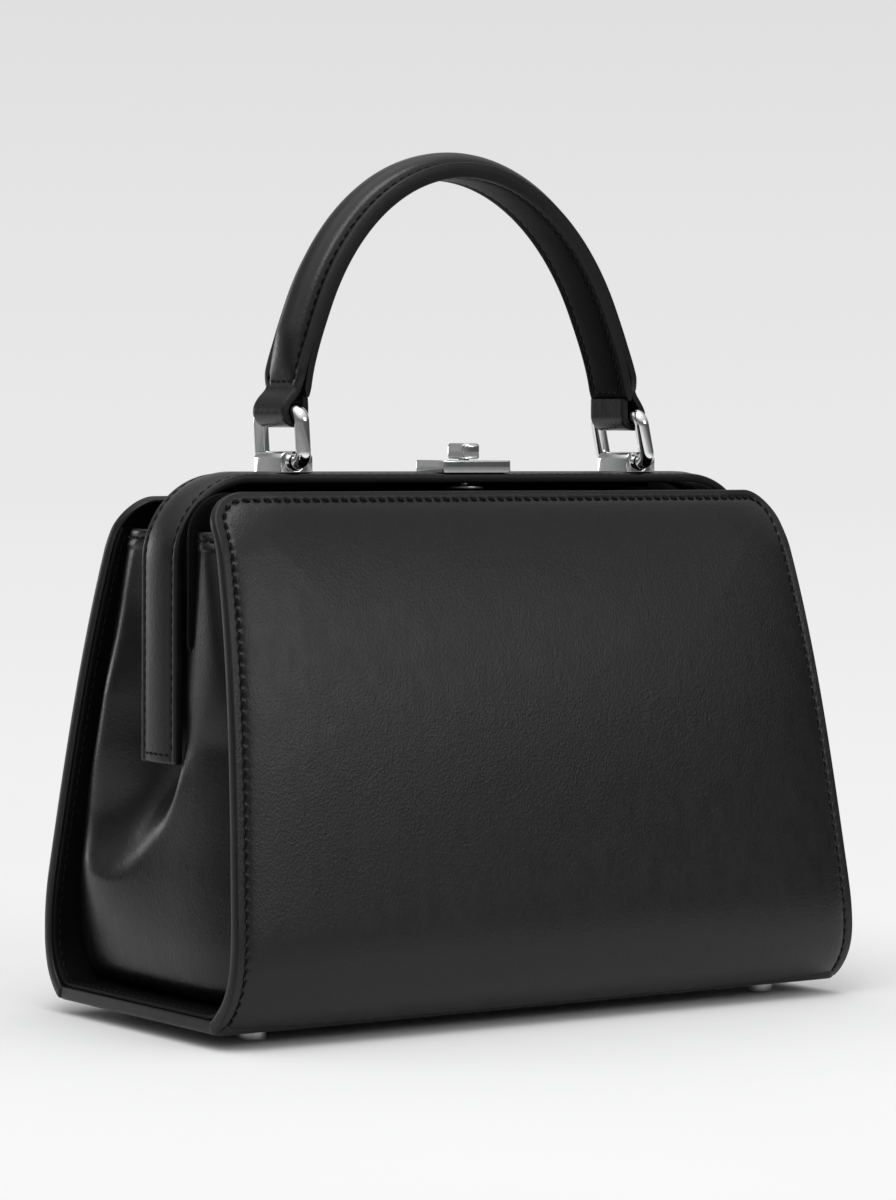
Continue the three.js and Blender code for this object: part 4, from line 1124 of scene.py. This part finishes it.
# ------------------------------------------------------------------ stage
def floor():
    n, radii = 96, np.r_[0.02, 0.2, 0.6, 1.2, 2.0, 3.0, 4.5, 7.0, 12.0, 30.0]
    a = np.linspace(0, 2 * math.pi, n + 1)[:-1]
    shape = Shape()
    ids = shape.add(np.stack([np.outer(radii, np.cos(a)), np.outer(radii, np.sin(a)), np.zeros((len(radii), n))], -1) * 1000)
    shape.quads(ids, 0, wrap=True)
    shape.cap(ids[0])
    n = Nodes("pale_floor_painted_glow")
    tone = n.noise(0.004, 3, 0.5)
    n.link(n.ramp(tone, [(0.3, (0.82, 0.821, 0.822)), (0.7, (0.835, 0.836, 0.837))]), n.shader.inputs["Base Color"])
    n.set(Roughness=0.9, Specular_IOR_Level=0.1)
    # painted glow: away from the bag the floor is an emitter, not a lit surface, and its colour is painted light
    painted_glow = n.node("ShaderNodeEmission")
    span = n.node("ShaderNodeVectorMath", operation="LENGTH")
    n.link(n.place, span.inputs[0])
    reach = n.spread(span.outputs["Value"], 0.0, 1.0, 0, 9000)
    # painted light: the glow is brightest near the bag and fades with distance towards the horizon tone
    lit = n.ramp(reach, [(0.0, (0.92,) * 3), (0.033, (0.905,) * 3), (0.08, (0.885,) * 3), (0.167, (0.865,) * 3),
                         (0.345, (0.84,) * 3), (1.0, HORIZON)])
    # painted shade: the glow turns dark in directions away from the backdrop, so reflections on that side read dark
    dim = n.ramp(reach, [(0.0, (0.92,) * 3), (0.045, (0.89,) * 3), (0.08, (0.62,) * 3), (0.14, (0.34,) * 3), (0.3, (0.22,) * 3)])
    way = n.node("ShaderNodeVectorMath", operation="NORMALIZE")
    n.link(n.place, way.inputs[0])
    towards = n.node("ShaderNodeVectorMath", operation="DOT_PRODUCT")
    towards.inputs[1].default_value = BACKDROP
    n.link(way.outputs["Vector"], towards.inputs[0])
    tone = n.node("ShaderNodeMix", data_type="RGBA")
    n.link(n.spread(towards.outputs["Value"], 0.0, 1.0, 0.45, 0.85), tone.inputs["Factor"])
    n.link(dim, tone.inputs["A"])
    n.link(lit, tone.inputs["B"])
    n.link(tone.outputs["Result"], painted_glow.inputs["Color"])
    # lit diffuse floor near the bag, blending into the painted glow between 120 and 800 mm
    mix = n.node("ShaderNodeMixShader")
    n.link(n.spread(span.outputs["Value"], 0.0, 1.0, 120, 800), mix.inputs["Fac"])
    n.link(n.shader.outputs[0], mix.inputs[1])
    n.link(painted_glow.outputs[0], mix.inputs[2])
    n.link(mix.outputs[0], n.out.inputs["Surface"])
    ob = shape.build("floor", [n.material], 60)
    for poly in ob.data.polygons:
        if poly.normal.z < 0:
            poly.flip()


HORIZON = (0.815, 0.815, 0.815)
BACKDROP = (0.575, 0.818, 0.0)      # the way towards the lit backdrop
floor()

world = bpy.data.worlds.new("studio")
scene.world = world
world.use_nodes = True
w = world.node_tree
w.nodes.clear()
out = w.nodes.new("ShaderNodeOutputWorld")
back = w.nodes.new("ShaderNodeBackground")
coord = w.nodes.new("ShaderNodeTexCoord")
split = w.nodes.new("ShaderNodeSeparateXYZ")
w.links.new(coord.outputs["Generated"], split.inputs[0])


def blend(stops, value):
    n = w.nodes.new("ShaderNodeValToRGB")
    e = n.color_ramp.elements
    while len(e) < len(stops):
        e.new(0.5)
    for k, (at, level) in enumerate(stops):
        e[k].position = at
        e[k].color = (level, level, level, 1)
    w.links.new(value, n.inputs["Fac"])
    return n.outputs["Color"]


# pale backdrop behind the bag; the rest of the studio is dim at eye level and bright overhead
behind = blend([(0.0, HORIZON[0]), (0.105, 0.745), (0.30, 0.50), (0.45, 0.36), (0.65, 0.42), (0.85, 1.0), (1.0, 1.3)], split.outputs["Z"])
ahead = blend([(0.0, 0.14), (0.15, 0.14), (0.30, 0.34), (0.45, 0.70), (0.7, 1.05), (1.0, 1.5)], split.outputs["Z"])
aside = blend([(0.0, 0.30), (0.20, 0.30), (0.45, 0.22), (0.65, 0.28), (0.85, 1.1), (1.0, 1.5)], split.outputs["Z"])
towards = w.nodes.new("ShaderNodeVectorMath")
towards.operation = "DOT_PRODUCT"
towards.inputs[1].default_value = BACKDROP
w.links.new(coord.outputs["Generated"], towards.inputs[0])


def between(value, a, b, lo, hi):
    n = w.nodes.new("ShaderNodeMapRange")
    n.inputs["From Min"].default_value, n.inputs["From Max"].default_value = a, b
    n.inputs["To Min"].default_value, n.inputs["To Max"].default_value = lo, hi
    w.links.new(value, n.inputs["Value"])
    return n.outputs["Result"]


around = w.nodes.new("ShaderNodeMix")
around.data_type = "RGBA"
w.links.new(between(split.outputs["Y"], 0.6, 0.85, 0.0, 1.0), around.inputs["Factor"])
w.links.new(ahead, around.inputs["A"])
w.links.new(aside, around.inputs["B"])
room = w.nodes.new("ShaderNodeBackground")
w.links.new(around.outputs["Result"], room.inputs["Color"])
w.links.new(between(split.outputs["X"], -1.0, 1.0, 1.2, 0.5), room.inputs["Strength"])
w.links.new(behind, back.inputs["Color"])
both = w.nodes.new("ShaderNodeMixShader")
w.links.new(between(towards.outputs["Value"], 0.66, 0.90, 0.0, 1.0), both.inputs["Fac"])
w.links.new(room.outputs[0], both.inputs[1])
w.links.new(back.outputs[0], both.inputs[2])
w.links.new(both.outputs[0], out.inputs["Surface"])


def area(name, place_at, aim, size, power, spread=180):
    light = bpy.data.lights.new(name, "AREA")
    light.shape = "RECTANGLE"
    light.size, light.size_y = size
    light.energy = power
    light.spread = math.radians(spread)
    ob = bpy.data.objects.new(name, light)
    ob.location = place_at
    ob.rotation_mode = "QUATERNION"
    ob.rotation_quaternion = (Vector(aim) - Vector(place_at)).to_track_quat("-Z", "Y")
    ob.visible_camera = False
    scene.collection.objects.link(ob)


area("front_soft", (0.72, -2.22, 1.0), (0, 0, 0.1), (1.6, 0.75), 10.5)
area("side_strip", (-0.52, 2.40, 0.32), (0, 0, 0.1), (0.9, 0.45), 3.1)
area("left_soft", (-1.05, -0.75, 1.75), (0, 0, 0.15), (0.8, 0.7), 6.0)
area("top_soft", (-0.2, -0.5, 2.15), (0, 0, 0.1), (1.0, 0.8), 8.5)

# ----------------------------------------------------------------- camera
YAW, PITCH_DOWN, ROLL = math.radians(35.107), math.radians(2.459), math.radians(0.390)
forward = Vector((math.sin(YAW) * math.cos(PITCH_DOWN), math.cos(YAW) * math.cos(PITCH_DOWN), -math.sin(PITCH_DOWN)))
level = Vector((math.cos(YAW), -math.sin(YAW), 0))
upright = level.cross(forward)
right_axis = math.cos(ROLL) * level + math.sin(ROLL) * upright
up_axis = -math.sin(ROLL) * level + math.cos(ROLL) * upright
camera = bpy.data.objects.new("camera", bpy.data.cameras.new("camera"))
camera.data.sensor_width = 36.0
camera.data.lens = 4057.9 / 1200 * 36
camera.data.clip_start, camera.data.clip_end = 0.05, 100
camera.matrix_world = Matrix.Translation(Vector((-0.777316, -1.098951 + CENTRE_Y * MM, 0.192029))) @ Matrix(
    (right_axis, up_axis, -forward)).transposed().to_4x4()
scene.collection.objects.link(camera)
scene.camera = camera
scene.view_settings.view_transform = "Standard"
